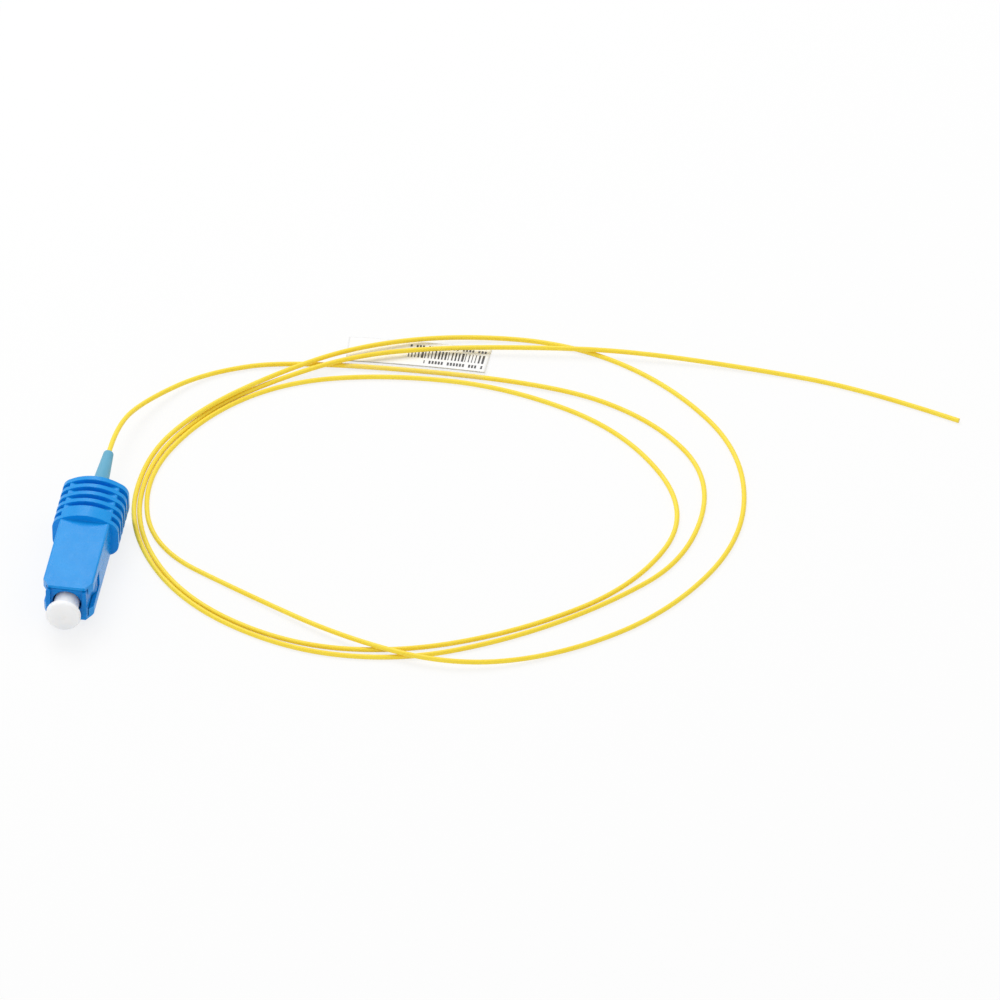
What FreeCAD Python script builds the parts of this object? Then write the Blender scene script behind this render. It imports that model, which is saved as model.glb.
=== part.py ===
# Fibre optic pigtail: a square push-pull connector with its dust cap, on a loosely looped buffered fibre.
# Millimetres. +Y runs along the connector from the dust cap to the boot, +Z is up and the floor is z = 0.
# The origin is under the middle of the connector.
import FreeCAD, Part
import math
import os
import Sketcher

# Driving dimensions: name, value in mm, meaning.
SIZES = [
    ("sleeve_width", 9.0, "outer sleeve, across"),
    ("sleeve_height", 7.4, "outer sleeve, top to bottom"),
    ("sleeve_corner", 0.35, "rounding of the outer sleeve's long edges"),
    ("front_length", 18.0, "plain front of the outer sleeve"),
    ("side_wall", 0.75, "side walls of the outer sleeve"),
    ("plate_wall", 0.6, "top and bottom walls of the outer sleeve"),
    ("nose_cut_width", 1.2, "front corner cut of the outer sleeve, across"),
    ("nose_cut_length", 1.9, "front corner cut of the outer sleeve, along"),
    ("slot_height", 3.4, "side slot for the adapter's hooks"),
    ("top_rise", 1.25, "bulge of the ribs above and below the sleeve"),
    ("side_rise", 1.5, "bulge of the ribs beside the sleeve"),
    ("side_flat", 2.8, "straight height of the ribs' sides"),
    ("front_rib", 2.85, "wide rib at the front of the grip"),
    ("rib", 0.9, "thin rib"),
    ("groove", 1.1, "groove between ribs"),
    ("rim", 1.0, "rib at the rear edge of the grip"),
    ("rear_wall", 3.9, "rear wall of the outer sleeve"),
    ("rear_gap", 0.2, "rear wall to the spring stop"),
    ("polarity_key_width", 2.4, "key rail under the sleeve, across"),
    ("polarity_key_rise", 0.9, "key rail, height"),
    ("polarity_key_length", 11.0, "key rail, along"),
    ("polarity_key_start", 2.6, "key rail, from the sleeve's front"),
    ("slide_gap", 0.1, "gap between the outer sleeve and the plug frame"),
    ("sleeve_travel", 2.0, "how far the outer sleeve slides back"),
    ("lip_reach", 0.6, "side lips of the plug frame in front of the sleeve"),
    ("lip_depth", 0.6, "side lips, height above the recessed face"),
    ("recess_width", 5.7, "recessed face between the side lips"),
    ("frame_corner", 0.3, "rounding of the plug frame's long edges"),
    ("web_start", 7.0, "web across the plug frame, from the sleeve's front"),
    ("web", 1.0, "thickness of the web"),
    ("web_gap", 0.25, "web to the ferrule"),
    ("frame_bore_d", 4.9, "rear bore of the plug frame"),
    ("lobe_start", 4.2, "latch lobe, from the sleeve's front"),
    ("lobe_ramp", 1.3, "sloping front of the latch lobe"),
    ("lobe_length", 2.4, "latch lobe, along"),
    ("lobe_rise", 0.65, "latch lobe, out of the plug frame"),
    ("lobe_gap", 0.2, "latch lobe to the side slot, above and below"),
    ("lobe_end_gap", 0.9, "latch lobe to the side slot's end"),
    ("stop_lug_start", 17.0, "retaining lug, from the sleeve's front"),
    ("stop_lug_length", 1.2, "retaining lug, along"),
    ("stop_lug_width", 2.6, "retaining lug, across"),
    ("stop_lug_rise", 0.25, "retaining lug, out of the plug frame"),
    ("stop_lug_gap", 0.15, "room round the retaining lug"),
    ("ferrule_d", 2.5, "ferrule"),
    ("ferrule_reach", 1.0, "ferrule tip in front of the sleeve"),
    ("ferrule_tip_d", 1.6, "flat on the ferrule's tip"),
    ("ferrule_tip_length", 0.6, "taper at the ferrule's tip"),
    ("socket_depth", 1.5, "ferrule's seat in its flange"),
    ("funnel_d", 0.7, "funnel in the ferrule's rear"),
    ("funnel_length", 0.8, "funnel, along"),
    ("glass_d", 0.125, "glass fibre"),
    ("glass_gap", 0.001, "glue film round the glass fibre"),
    ("press_gap", 0.02, "line between pressed pieces"),
    ("flange_hub_gap", 0.25, "ferrule flange to the plug frame's bore"),
    ("flange_hub_length", 2.0, "ferrule flange, along"),
    ("flange_tail_d", 2.4, "tail tube of the ferrule flange"),
    ("flange_tail_length", 8.0, "tail tube, along"),
    ("flange_bore_gap", 0.05, "tail tube to the fibre in it"),
    ("float_travel", 1.0, "how far the ferrule can be pushed back"),
    ("spring_length", 7.0, "spring as fitted"),
    ("spring_gap", 0.425, "spring to the tail tube in it"),
    ("spring_wire_d", 0.45, "spring wire"),
    ("spring_pitch", 1.1, "spring, turn to turn"),
    ("spring_end_gap", 0.03, "spring to its seats"),
    ("guide_gap", 0.15, "spring stop to the tail tube in its mouth"),
    ("guide_end_gap", 1.0, "tail tube, pushed back, to the end of that mouth"),
    ("stop_bore_gap", 0.1, "spring stop to the fibre in it"),
    ("stop_collar_step", 0.1, "collar of the spring stop, past the plug frame's bore"),
    ("stop_collar", 0.5, "collar of the spring stop, along"),
    ("stop_tail_wall", 0.4, "wall of the spring stop's tail"),
    ("stop_tail_length", 6.0, "tail of the spring stop, along"),
    ("barb_rise", 0.15, "barb on the tail, height"),
    ("barb_length", 0.9, "barb, along"),
    ("barb_from_end", 0.3, "barb to the end of the tail"),
    ("boot_collar_d", 4.6, "collar of the boot"),
    ("boot_collar", 2.2, "collar of the boot, along"),
    ("boot_room", 0.4, "boot's collar to the hole in the sleeve's rear wall"),
    ("boot_wall", 0.7, "wall of the boot behind its collar"),
    ("boot_tip_wall", 0.44, "wall of the boot at its tip"),
    ("boot_tip_round", 0.3, "rounding of the boot's tip"),
    ("boot_reach", 12.1, "boot behind the sleeve"),
    ("boot_gap", 0.03, "line between the boot and what is in it"),
    ("cap_gap", 0.03, "dust cap to ferrule"),
    ("cap_wall", 0.97, "wall of the dust cap"),
    ("cap_room", 0.35, "dust cap to the round hole in the plug frame"),
    ("cap_flange_rise", 0.85, "flared end of the dust cap, past the cap"),
    ("cap_flange", 1.1, "flared end, along"),
    ("cap_flare", 1.1, "cone behind the flared end, along"),
    ("cap_round", 0.25, "edge rounding of the flared end"),
    ("cap_end_wall", 2.8, "closed end of the dust cap"),
    ("cap_end_gap", 0.2, "ferrule tip to the cap's closed end"),
    ("cap_rear_gap", 0.3, "cap to the web with the ferrule pushed back"),
    ("fibre_d", 0.9, "buffered fibre"),
    ("buffer_start", 13.0, "front of the buffer, from the sleeve's front"),
    ("flag_start", 9.2, "flag label, from the start of its run"),
    ("flag_length", 25.5, "flag label, along the fibre"),
    ("flag_width", 8.6, "flag label, across"),
    ("flag_ply", 0.1, "flag label, one ply"),
    ("flag_gap", 0.03, "flag label to fibre"),
]
THIN_RIBS = 3
CUT_OVER = 1.0     # how far cutting shapes stand past the faces they cut
FLAG_DROOP = 2.9   # degrees that the flag leans down to the floor

# Route of the free fibre, chosen point by point. The first point is the boot's tip.
FIBRE_ROUTE = [
    (0.0, 30.6, 4.95), (3.4, 41.5, 2.1), (12.5, 52.6, 0.5),
    (27.9, 58.4, 0.6), (73.9, 59.3, 0.6), (94.5, 52.4, 0.45), (107.9, 37.6, 0.45),
    (106.5, 15.1, 0.45), (93.6, 0.4, 0.45), (77.7, -11.5, 0.45), (59.8, -19.7, 0.45),
    (39.3, -19.9, 0.45), (18.4, -10.1, 0.45), (6.0, 7.9, 0.45), (5.6, 27.6, 0.45),
    (12.8, 40.5, 1.45), (24.7, 52.3, 1.8), (38.5, 62.9, 1.6), (56.3, 69.8, 0.8),
    (77.3, 70.9, 0.45), (96.4, 62.3, 0.45), (112.2, 45.7, 0.45), (115.8, 22.2, 0.45),
    (105.1, 0.1, 0.45), (87.3, -14.2, 0.45), (69.3, -20.7, 1.5), (49.2, -16.3, 1.5),
    (29.5, -6.1, 0.45), (11.1, 3.4, 0.45), (6.4, 21.9, 0.45), (13.6, 39.9, 0.45),
    (26.8, 52.2, 0.45), (45.6, 57.2, 0.45), (67.5, 57.0, 0.45), (90.5, 48.0, 0.45),
    (105.5, 27.6, 0.45), (98.3, 6.5, 0.45), (80.1, -8.5, 0.45), (59.2, -17.7, 0.45),
    (38.9, -18.4, 0.45), (18.8, -9.0, 0.45), (7.1, 8.1, 0.45), (6.5, 27.0, 0.45),
    (14.5, 42.4, 0.45), (25.0, 51.7, 0.95), (38.7, 60.0, 1.85), (53.8, 65.3, 1.2),
    (70.3, 67.6, 1.5), (87.3, 69.3, 1.5), (110.3, 69.1, 0.45), (131.3, 66.5, 0.45),
    (149.6, 60.4, 0.45),
]
FLAG_RUN = (4, 5)   # the flag is on the run between these points of the whole route
ARC_SHARE = 0.45    # share of the shorter run that each bend takes up


class Size:
    """A length in mm with the sheet expression that it comes from."""

    def __init__(self, value, text):
        self.value = value
        self.text = text

    def joined(self, sign, other, value):
        return Size(value, "(" + self.text + " " + sign + " " + other.text + ")")

    def __add__(self, other):
        other = as_size(other)
        return self.joined("+", other, self.value + other.value)

    def __sub__(self, other):
        other = as_size(other)
        return self.joined("-", other, self.value - other.value)

    def __mul__(self, other):
        other = as_size(other)
        return self.joined("*", other, self.value * other.value)

    def __truediv__(self, other):
        other = as_size(other)
        return self.joined("/", other, self.value / other.value)

    def __neg__(self):
        return Size(-self.value, "(-1 * " + self.text + ")")


def as_size(number):
    if isinstance(number, Size):
        return number
    return Size(float(number), str(float(number)))


ZERO = as_size(0)


def make_sheet(doc):
    """Puts the driving dimensions in the document's sheet and gives them back by name."""
    sheet = doc.addObject("Spreadsheet::Sheet", "sizes")
    named = {}
    for row, (name, value, meaning) in enumerate(SIZES, start=1):
        cell = "B" + str(row)
        sheet.set("A" + str(row), meaning)
        sheet.set(cell, str(value))
        sheet.setAlias(cell, name)
        named[name] = Size(value, "sizes." + name)
    doc.recompute()
    return named


def new_body(doc, label, y, z):
    """A body whose own origin lies on the connector's axis, at y."""
    body = doc.addObject("PartDesign::Body", label)
    body.Label = label
    body.setExpression("Placement.Base.y", y.text)
    body.setExpression("Placement.Base.z", z.text)
    return body


def new_sketch(body, name, role, offset=ZERO):
    """A sketch on one of the body's own planes, moved along the plane's normal."""
    plane = [item for item in body.Origin.OriginFeatures if item.Role == role][0]
    sketch = body.newObject("Sketcher::SketchObject", name)
    sketch.AttachmentSupport = [(plane, "")]
    sketch.MapMode = "FlatFace"
    sketch.setExpression("AttachmentOffset.Base.z", offset.text)
    return sketch


def section_sketch(body, name, y=ZERO):
    """A cross-section of the connector at y: sketch x is across and sketch y is up."""
    return new_sketch(body, name, "XZ_Plane", -y)


def vector(corner):
    return FreeCAD.Vector(corner[0].value, corner[1].value, 0)


def dimension(sketch, geometry, end, corner):
    """Ties one end of a line or arc to its place, measured from the sketch's origin."""
    for kind, axis, size in (("DistanceX", -2, corner[0]), ("DistanceY", -1, corner[1])):
        if size is ZERO:
            sketch.addConstraint(Sketcher.Constraint("PointOnObject", geometry, end, axis))
            continue
        if size.value > 0:
            row = sketch.addConstraint(Sketcher.Constraint(kind, -1, 1, geometry, end, size.value))
            sketch.setExpression("Constraints[" + str(row) + "]", size.text)
        else:
            row = sketch.addConstraint(Sketcher.Constraint(kind, geometry, end, -1, 1, -size.value))
            sketch.setExpression("Constraints[" + str(row) + "]", (-size).text)


def draw_outline(sketch, corners):
    """A closed outline of straight lines, every corner dimensioned."""
    first = sketch.GeometryCount
    count = len(corners)
    for index, corner in enumerate(corners):
        following = corners[(index + 1) % count]
        sketch.addGeometry(Part.LineSegment(vector(corner), vector(following)), False)
    for index, corner in enumerate(corners):
        following = first + (index + 1) % count
        sketch.addConstraint(Sketcher.Constraint("Coincident", first + index, 2, following, 1))
        dimension(sketch, first + index, 1, corner)


def draw_rectangle(sketch, left, right, low, high):
    draw_outline(sketch, [(left, low), (right, low), (right, high), (left, high)])


def draw_circle(sketch, diameter):
    """A circle on the axis."""
    circle = Part.Circle(FreeCAD.Vector(0, 0, 0), FreeCAD.Vector(0, 0, 1), diameter.value / 2)
    index = sketch.addGeometry(circle, False)
    sketch.addConstraint(Sketcher.Constraint("Coincident", index, 3, -1, 1))
    row = sketch.addConstraint(Sketcher.Constraint("Diameter", index, diameter.value))
    sketch.setExpression("Constraints[" + str(row) + "]", diameter.text)


def draw_rounded_rectangle(sketch, width, height, radius):
    """A rectangle about the axis with rounded corners."""
    half_x = width / 2
    half_z = height / 2
    flat_x = half_x - radius
    flat_z = half_z - radius
    sides = [
        ((flat_x, half_z), (-flat_x, half_z)),
        ((-half_x, flat_z), (-half_x, -flat_z)),
        ((-flat_x, -half_z), (flat_x, -half_z)),
        ((half_x, -flat_z), (half_x, flat_z)),
    ]
    middles = [(-1, 1), (-1, -1), (1, -1), (1, 1)]
    shift = radius.value * math.sqrt(0.5)
    for side in range(4):
        start, stop = sides[side]
        after = sides[(side + 1) % 4][0]
        sketch.addGeometry(Part.LineSegment(vector(start), vector(stop)), False)
        sign_x, sign_z = middles[side]
        middle = FreeCAD.Vector(sign_x * (flat_x.value + shift), sign_z * (flat_z.value + shift), 0)
        sketch.addGeometry(Part.Arc(vector(stop), middle, vector(after)), False)
    for side in range(4):
        line = 2 * side
        sketch.addConstraint(Sketcher.Constraint("Coincident", line, 2, line + 1, 1))
        sketch.addConstraint(Sketcher.Constraint("Coincident", line + 1, 2, (line + 2) % 8, 1))
        dimension(sketch, line, 1, sides[side][0])
        dimension(sketch, line, 2, sides[side][1])
        row = sketch.addConstraint(Sketcher.Constraint("Radius", line + 1, radius.value))
        sketch.setExpression("Constraints[" + str(row) + "]", radius.text)


def bulge_radius(chord, rise):
    """Radius of the arc that rises above its chord by a given height."""
    return (chord * chord / 4 + rise * rise) / (rise * 2)


def draw_barrel(sketch, width, height, side_rise, side_flat, top_rise):
    """A rectangle with arcs above and below it, and beside it straight sides that arcs lead to."""
    half_x = width / 2
    half_z = height / 2
    half_flat = side_flat / 2
    out_x = half_x + side_rise
    top_radius = bulge_radius(width, top_rise)
    side_radius = bulge_radius(height - side_flat, side_rise)
    corners = [
        (half_x, half_z), (-half_x, half_z), (-out_x, half_flat), (-out_x, -half_flat),
        (-half_x, -half_z), (half_x, -half_z), (out_x, -half_flat), (out_x, half_flat),
    ]
    radii = [top_radius, side_radius, None, side_radius] * 2
    # a point halfway round each arc, only to draw it on the right side of its ends
    turn = math.atan2((half_z - half_flat).value, (side_radius - side_rise).value) / 2
    bend_x = (out_x - side_radius).value + side_radius.value * math.cos(turn)
    bend_z = half_flat.value + side_radius.value * math.sin(turn)
    top_z = (half_z + top_rise).value
    halfway = [(0, top_z), (-bend_x, bend_z), None, (-bend_x, -bend_z),
               (0, -top_z), (bend_x, -bend_z), None, (bend_x, bend_z)]
    for index, corner in enumerate(corners):
        following = vector(corners[(index + 1) % 8])
        if radii[index]:
            middle = FreeCAD.Vector(*halfway[index], 0)
            sketch.addGeometry(Part.Arc(vector(corner), middle, following), False)
        else:
            sketch.addGeometry(Part.LineSegment(vector(corner), following), False)
    for index, corner in enumerate(corners):
        sketch.addConstraint(Sketcher.Constraint("Coincident", index, 2, (index + 1) % 8, 1))
        dimension(sketch, index, 1, corner)
        if radii[index]:
            row = sketch.addConstraint(Sketcher.Constraint("Radius", index, radii[index].value))
            sketch.setExpression("Constraints[" + str(row) + "]", radii[index].text)


def pad(body, sketch, length):
    """Builds a cross-section up along the connector, towards the boot."""
    feature = body.newObject("PartDesign::Pad", sketch.Name + "_pad")
    feature.Profile = sketch
    feature.setExpression("Length", length.text)
    feature.Reversed = True
    return feature


def pad_across(body, sketch, length):
    """Builds a sketch up evenly to both sides of its plane."""
    feature = body.newObject("PartDesign::Pad", sketch.Name + "_pad")
    feature.Profile = sketch
    feature.SideType = "Symmetric"
    feature.setExpression("Length", length.text)
    return feature


def pocket(body, sketch, length):
    """Cuts a cross-section out along the connector, towards the boot."""
    feature = body.newObject("PartDesign::Pocket", sketch.Name + "_cut")
    feature.Profile = sketch
    feature.setExpression("Length", length.text)
    return feature


def pocket_across(body, sketch, length):
    """Cuts a sketch out evenly to both sides of its plane."""
    feature = body.newObject("PartDesign::Pocket", sketch.Name + "_cut")
    feature.Profile = sketch
    feature.SideType = "Symmetric"
    feature.setExpression("Length", length.text)
    return feature


def turned(doc, label, y, z, profile):
    """A turned piece: its profile is (distance along the axis, radius), from its own front end."""
    body = new_body(doc, label, y, z)
    sketch = new_sketch(body, label + "_profile", "YZ_Plane")
    draw_outline(sketch, profile)
    feature = body.newObject("PartDesign::Revolution", label + "_turned")
    feature.Profile = sketch
    feature.ReferenceAxis = (sketch, ["H_Axis"])
    feature.Angle = 360
    return body


class Layout:
    """Places along the connector, measured from the sleeve's front, that several pieces share."""

    def __init__(self, size):
        self.grip_length = (size["front_rib"] + size["groove"] * (THIN_RIBS + 1)
                            + size["rib"] * THIN_RIBS + size["rim"])
        self.sleeve_length = size["front_length"] + self.grip_length
        self.cap_reach = size["ferrule_reach"] + size["cap_end_gap"] + size["cap_end_wall"]
        self.boot_tip = self.sleeve_length + size["boot_reach"]
        self.front_y = (self.cap_reach - self.boot_tip) / 2
        self.axis_z = size["sleeve_height"] / 2 + size["top_rise"]
        self.hub_front = size["web_start"] + size["web"]
        self.stop_front = self.hub_front + size["flange_hub_length"] + size["spring_length"]
        self.cavity_depth = self.sleeve_length - size["rear_wall"]
        self.boot_front = self.cavity_depth - size["rear_gap"]
        self.frame_rear = self.boot_front - size["stop_collar"]
        # sections that fit in one another
        self.cavity_width = size["sleeve_width"] - size["side_wall"] * 2
        self.cavity_height = size["sleeve_height"] - size["plate_wall"] * 2
        self.frame_width = self.cavity_width - size["slide_gap"] * 2
        self.frame_height = self.cavity_height - size["slide_gap"] * 2
        self.cap_d = size["ferrule_d"] + (size["cap_gap"] + size["cap_wall"]) * 2
        self.tail_bore_d = size["fibre_d"] + size["stop_bore_gap"] * 2
        self.tail_d = self.tail_bore_d + size["stop_tail_wall"] * 2
        self.barb_d = self.tail_d + size["barb_rise"] * 2

    def y(self, place):
        """Row coordinate of a place along the connector."""
        return self.front_y + place


def make_grip_sleeve(doc, size, at):
    """Outer sleeve: a square tube with barrel ribs, open at the front and slotted at both sides."""
    body = new_body(doc, "grip_sleeve", at.front_y, at.axis_z)
    tube = section_sketch(body, "sleeve_section")
    draw_rounded_rectangle(tube, size["sleeve_width"], size["sleeve_height"], size["sleeve_corner"])
    pad(body, tube, at.sleeve_length)
    # ribs from front to rear
    place = size["front_length"]
    widths = [size["front_rib"]] + [size["rib"]] * THIN_RIBS + [size["rim"]]
    for number, width in enumerate(widths, start=1):
        rib = section_sketch(body, "rib_" + str(number), place)
        draw_barrel(rib, size["sleeve_width"], size["sleeve_height"],
                    size["side_rise"], size["side_flat"], size["top_rise"])
        pad(body, rib, width)
        place = place + width + size["groove"]
    # at the sides the wide rib is two thin ones: a groove goes down to the tube there
    side_groove = section_sketch(body, "side_groove", size["front_length"] + size["rib"])
    half_width = size["sleeve_width"] / 2
    half_height = size["sleeve_height"] / 2
    beyond = half_width + size["side_rise"] + CUT_OVER
    draw_rectangle(side_groove, half_width, beyond, -half_height, half_height)
    draw_rectangle(side_groove, -beyond, -half_width, -half_height, half_height)
    pocket(body, side_groove, size["groove"])
    # key rail under the sleeve, sunk into the lower wall by half the wall
    key = section_sketch(body, "key_rail", size["polarity_key_start"])
    half_key = size["polarity_key_width"] / 2
    draw_rectangle(key, -half_key, half_key, -half_height - size["polarity_key_rise"],
                   size["plate_wall"] / 2 - half_height)
    pad(body, key, size["polarity_key_length"])
    # inside
    cavity = section_sketch(body, "cavity")
    half_x = at.cavity_width / 2
    half_z = at.cavity_height / 2
    draw_rectangle(cavity, -half_x, half_x, -half_z, half_z)
    pocket(body, cavity, at.cavity_depth)
    hole = section_sketch(body, "rear_hole")
    draw_circle(hole, size["boot_collar_d"] + size["boot_room"] * 2)
    pocket(body, hole, at.sleeve_length)
    # grooves above and below for the plug frame's retaining lugs, long enough for the sleeve's travel
    lug_groove = section_sketch(body, "lug_groove",
                                size["stop_lug_start"] - size["sleeve_travel"] - size["stop_lug_gap"])
    half_lug = size["stop_lug_width"] / 2 + size["stop_lug_gap"]
    lug_top = at.frame_height / 2 + size["stop_lug_rise"] + size["stop_lug_gap"]
    draw_rectangle(lug_groove, -half_lug, half_lug, -lug_top, lug_top)
    pocket(body, lug_groove, size["stop_lug_length"] + size["sleeve_travel"] + size["stop_lug_gap"] * 2)
    # side slots, open at the front
    slots = new_sketch(body, "side_slots", "YZ_Plane")
    half_slot = size["slot_height"] / 2
    slot_end = size["lobe_start"] + size["lobe_length"] + size["lobe_end_gap"]
    draw_rectangle(slots, as_size(-CUT_OVER), slot_end, -half_slot, half_slot)
    pocket_across(body, slots, size["sleeve_width"] + 2 * CUT_OVER)
    # slanting front corners, seen from above
    corners = new_sketch(body, "nose_corners", "XY_Plane")
    inner = half_width - size["nose_cut_width"]
    outer = half_width + CUT_OVER
    before = as_size(-CUT_OVER)
    right = [(inner, before), (outer, before), (outer, size["nose_cut_length"]),
             (half_width, size["nose_cut_length"]), (inner, ZERO)]
    left = [(-x, y) for x, y in right]
    draw_outline(corners, right)
    draw_outline(corners, left)
    pocket_across(body, corners, size["sleeve_height"] + size["polarity_key_rise"] * 2 + CUT_OVER)
    return body


def make_plug_frame(doc, size, at):
    """Inner plug frame: a block bored from both ends, with latch lobes at the sides."""
    front = -size["lip_reach"]
    body = new_body(doc, "plug_frame", at.y(front), at.axis_z)
    block = section_sketch(body, "frame_section")
    draw_rounded_rectangle(block, at.frame_width, at.frame_height, size["frame_corner"])
    pad(body, block, at.frame_rear - front)
    # retaining lugs above and below
    lugs = section_sketch(body, "stop_lugs", size["stop_lug_start"] - front)
    half_lug = size["stop_lug_width"] / 2
    lug_top = at.frame_height / 2 + size["stop_lug_rise"]
    draw_rectangle(lugs, -half_lug, half_lug, -lug_top, lug_top)
    pad(body, lugs, size["stop_lug_length"])
    # latch lobes at both sides, with a sloping front, sunk into the side by their own rise
    lobes = new_sketch(body, "latch_lobes", "XY_Plane")
    side = at.frame_width / 2
    start = size["lobe_start"] - front
    right = [(side - size["lobe_rise"], start), (side, start),
             (side + size["lobe_rise"], start + size["lobe_ramp"]),
             (side + size["lobe_rise"], start + size["lobe_length"]),
             (side - size["lobe_rise"], start + size["lobe_length"])]
    left = [(-x, y) for x, y in right]
    draw_outline(lobes, right)
    draw_outline(lobes, left)
    pad_across(body, lobes, size["slot_height"] - size["lobe_gap"] * 2)
    # recessed front face between two side lips
    recess = section_sketch(body, "front_recess")
    half_recess = size["recess_width"] / 2
    over = at.frame_height / 2 + CUT_OVER
    draw_rectangle(recess, -half_recess, half_recess, -over, over)
    pocket(body, recess, size["lip_depth"])
    # bores
    for name, diameter, place, length in (
            ("front_hole", at.cap_d + size["cap_room"] * 2, front, size["web_start"] - front),
            ("web_hole", size["ferrule_d"] + size["web_gap"] * 2, front, at.hub_front - front),
            ("frame_bore", size["frame_bore_d"], at.hub_front, at.frame_rear - at.hub_front)):
        hole = section_sketch(body, name, place - front)
        draw_circle(hole, diameter)
        pocket(body, hole, length)
    return body


def make_ferrule(doc, size, at):
    """Ceramic ferrule with a tapered tip, a fine bore and a funnel at its rear."""
    length = size["ferrule_reach"] + at.hub_front + size["socket_depth"]
    bore = size["glass_d"] / 2 + size["glass_gap"]
    radius = size["ferrule_d"] / 2
    profile = [
        (ZERO, bore), (ZERO, size["ferrule_tip_d"] / 2), (size["ferrule_tip_length"], radius),
        (length, radius), (length, size["funnel_d"] / 2), (length - size["funnel_length"], bore),
    ]
    return turned(doc, "ferrule", at.y(-size["ferrule_reach"]), at.axis_z, profile)


def make_ferrule_flange(doc, size, at):
    """Metal hub pressed on the ferrule, with a tail tube for the fibre."""
    socket = size["ferrule_d"] / 2 + size["press_gap"]
    hub = size["frame_bore_d"] / 2 - size["flange_hub_gap"]
    hub_end = size["flange_hub_length"]
    tail = size["flange_tail_d"] / 2
    end = hub_end + size["flange_tail_length"]
    bore = size["fibre_d"] / 2 + size["flange_bore_gap"]
    profile = [
        (ZERO, socket), (ZERO, hub), (hub_end, hub), (hub_end, tail), (end, tail), (end, bore),
        (size["socket_depth"], bore), (size["socket_depth"], socket),
    ]
    return turned(doc, "ferrule_flange", at.y(at.hub_front), at.axis_z, profile)


def make_spring(doc, size, at):
    """Coil spring between the ferrule flange and the spring stop."""
    front = at.hub_front + size["flange_hub_length"] + size["spring_end_gap"] + size["spring_wire_d"] / 2
    body = new_body(doc, "spring", at.y(front), at.axis_z)
    wire = new_sketch(body, "spring_wire", "YZ_Plane")
    coil_radius = size["flange_tail_d"] / 2 + size["spring_gap"] + size["spring_wire_d"] / 2
    ring = Part.Circle(FreeCAD.Vector(0, coil_radius.value, 0), FreeCAD.Vector(0, 0, 1),
                       size["spring_wire_d"].value / 2)
    wire.addGeometry(ring, False)
    dimension(wire, 0, 3, (ZERO, coil_radius))
    row = wire.addConstraint(Sketcher.Constraint("Diameter", 0, size["spring_wire_d"].value))
    wire.setExpression("Constraints[" + str(row) + "]", size["spring_wire_d"].text)
    coil = body.newObject("PartDesign::AdditiveHelix", "spring_coil")
    coil.Profile = wire
    coil.ReferenceAxis = (wire, ["H_Axis"])
    coil.Mode = "pitch-height-angle"
    coil.setExpression("Pitch", size["spring_pitch"].text)
    height = size["spring_length"] - size["spring_wire_d"] - size["spring_end_gap"] * 2
    coil.setExpression("Height", height.text)
    return body


def make_spring_stop(doc, size, at):
    """Metal sleeve pressed into the plug frame's rear, with a barbed tail for the boot."""
    barrel_end = at.frame_rear - at.stop_front
    collar_end = barrel_end + size["stop_collar"]
    end = collar_end + size["stop_tail_length"]
    barb_end = end - size["barb_from_end"]
    barb_start = barb_end - size["barb_length"]
    barrel = size["frame_bore_d"] / 2 - size["press_gap"]
    collar = size["frame_bore_d"] / 2 + size["stop_collar_step"]
    tail = at.tail_d / 2
    bore = at.tail_bore_d / 2
    guide = size["flange_tail_d"] / 2 + size["guide_gap"]
    guide_end = (size["flange_tail_length"] - size["spring_length"] + size["float_travel"]
                 + size["guide_end_gap"])
    profile = [
        (ZERO, guide), (ZERO, barrel), (barrel_end, barrel), (barrel_end, collar), (collar_end, collar),
        (collar_end, tail), (barb_start, tail), (barb_start, at.barb_d / 2), (barb_end, tail),
        (end, tail), (end, bore), (guide_end, bore), (guide_end, guide),
    ]
    return turned(doc, "spring_stop", at.y(at.stop_front), at.axis_z, profile)


def make_boot(doc, size, at):
    """Slim tapered bend relief, stretched over the spring stop's barb."""
    end = at.boot_tip - at.boot_front
    tail_end = size["stop_tail_length"] + size["boot_gap"]
    barb_start = size["stop_tail_length"] - size["barb_from_end"] - size["barb_length"] - size["boot_gap"]
    collar = size["boot_collar_d"] / 2
    tail = at.tail_d / 2 + size["boot_gap"]
    barb = at.barb_d / 2 + size["boot_gap"]
    fibre = size["fibre_d"] / 2 + size["boot_gap"]
    root = barb + size["boot_wall"]
    tip = fibre + size["boot_tip_wall"]
    rounding = size["boot_tip_round"]
    profile = [
        (ZERO, tail), (ZERO, collar), (size["boot_collar"], collar), (size["boot_collar"], root),
        (end - rounding, tip), (end, tip - rounding / 2), (end, fibre), (tail_end, fibre),
        (tail_end, barb), (barb_start, barb), (barb_start, tail),
    ]
    return turned(doc, "boot", at.y(at.boot_front), at.axis_z, profile)


def make_dust_cap(doc, size, at):
    """Cap on the ferrule: a blind tube with a flared end to pull it by."""
    length = at.cap_reach + size["web_start"] - size["float_travel"] - size["cap_rear_gap"]
    flare_end = size["cap_flange"] + size["cap_flare"]
    bore = size["ferrule_d"] / 2 + size["cap_gap"]
    tube = at.cap_d / 2
    flange = tube + size["cap_flange_rise"]
    profile = [
        (ZERO, ZERO), (ZERO, flange - size["cap_round"]), (size["cap_round"], flange),
        (size["cap_flange"], flange), (flare_end, tube), (length, tube), (length, bore),
        (size["cap_end_wall"], bore), (size["cap_end_wall"], ZERO),
    ]
    return turned(doc, "dust_cap", at.y(-at.cap_reach), at.axis_z, profile)


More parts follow.
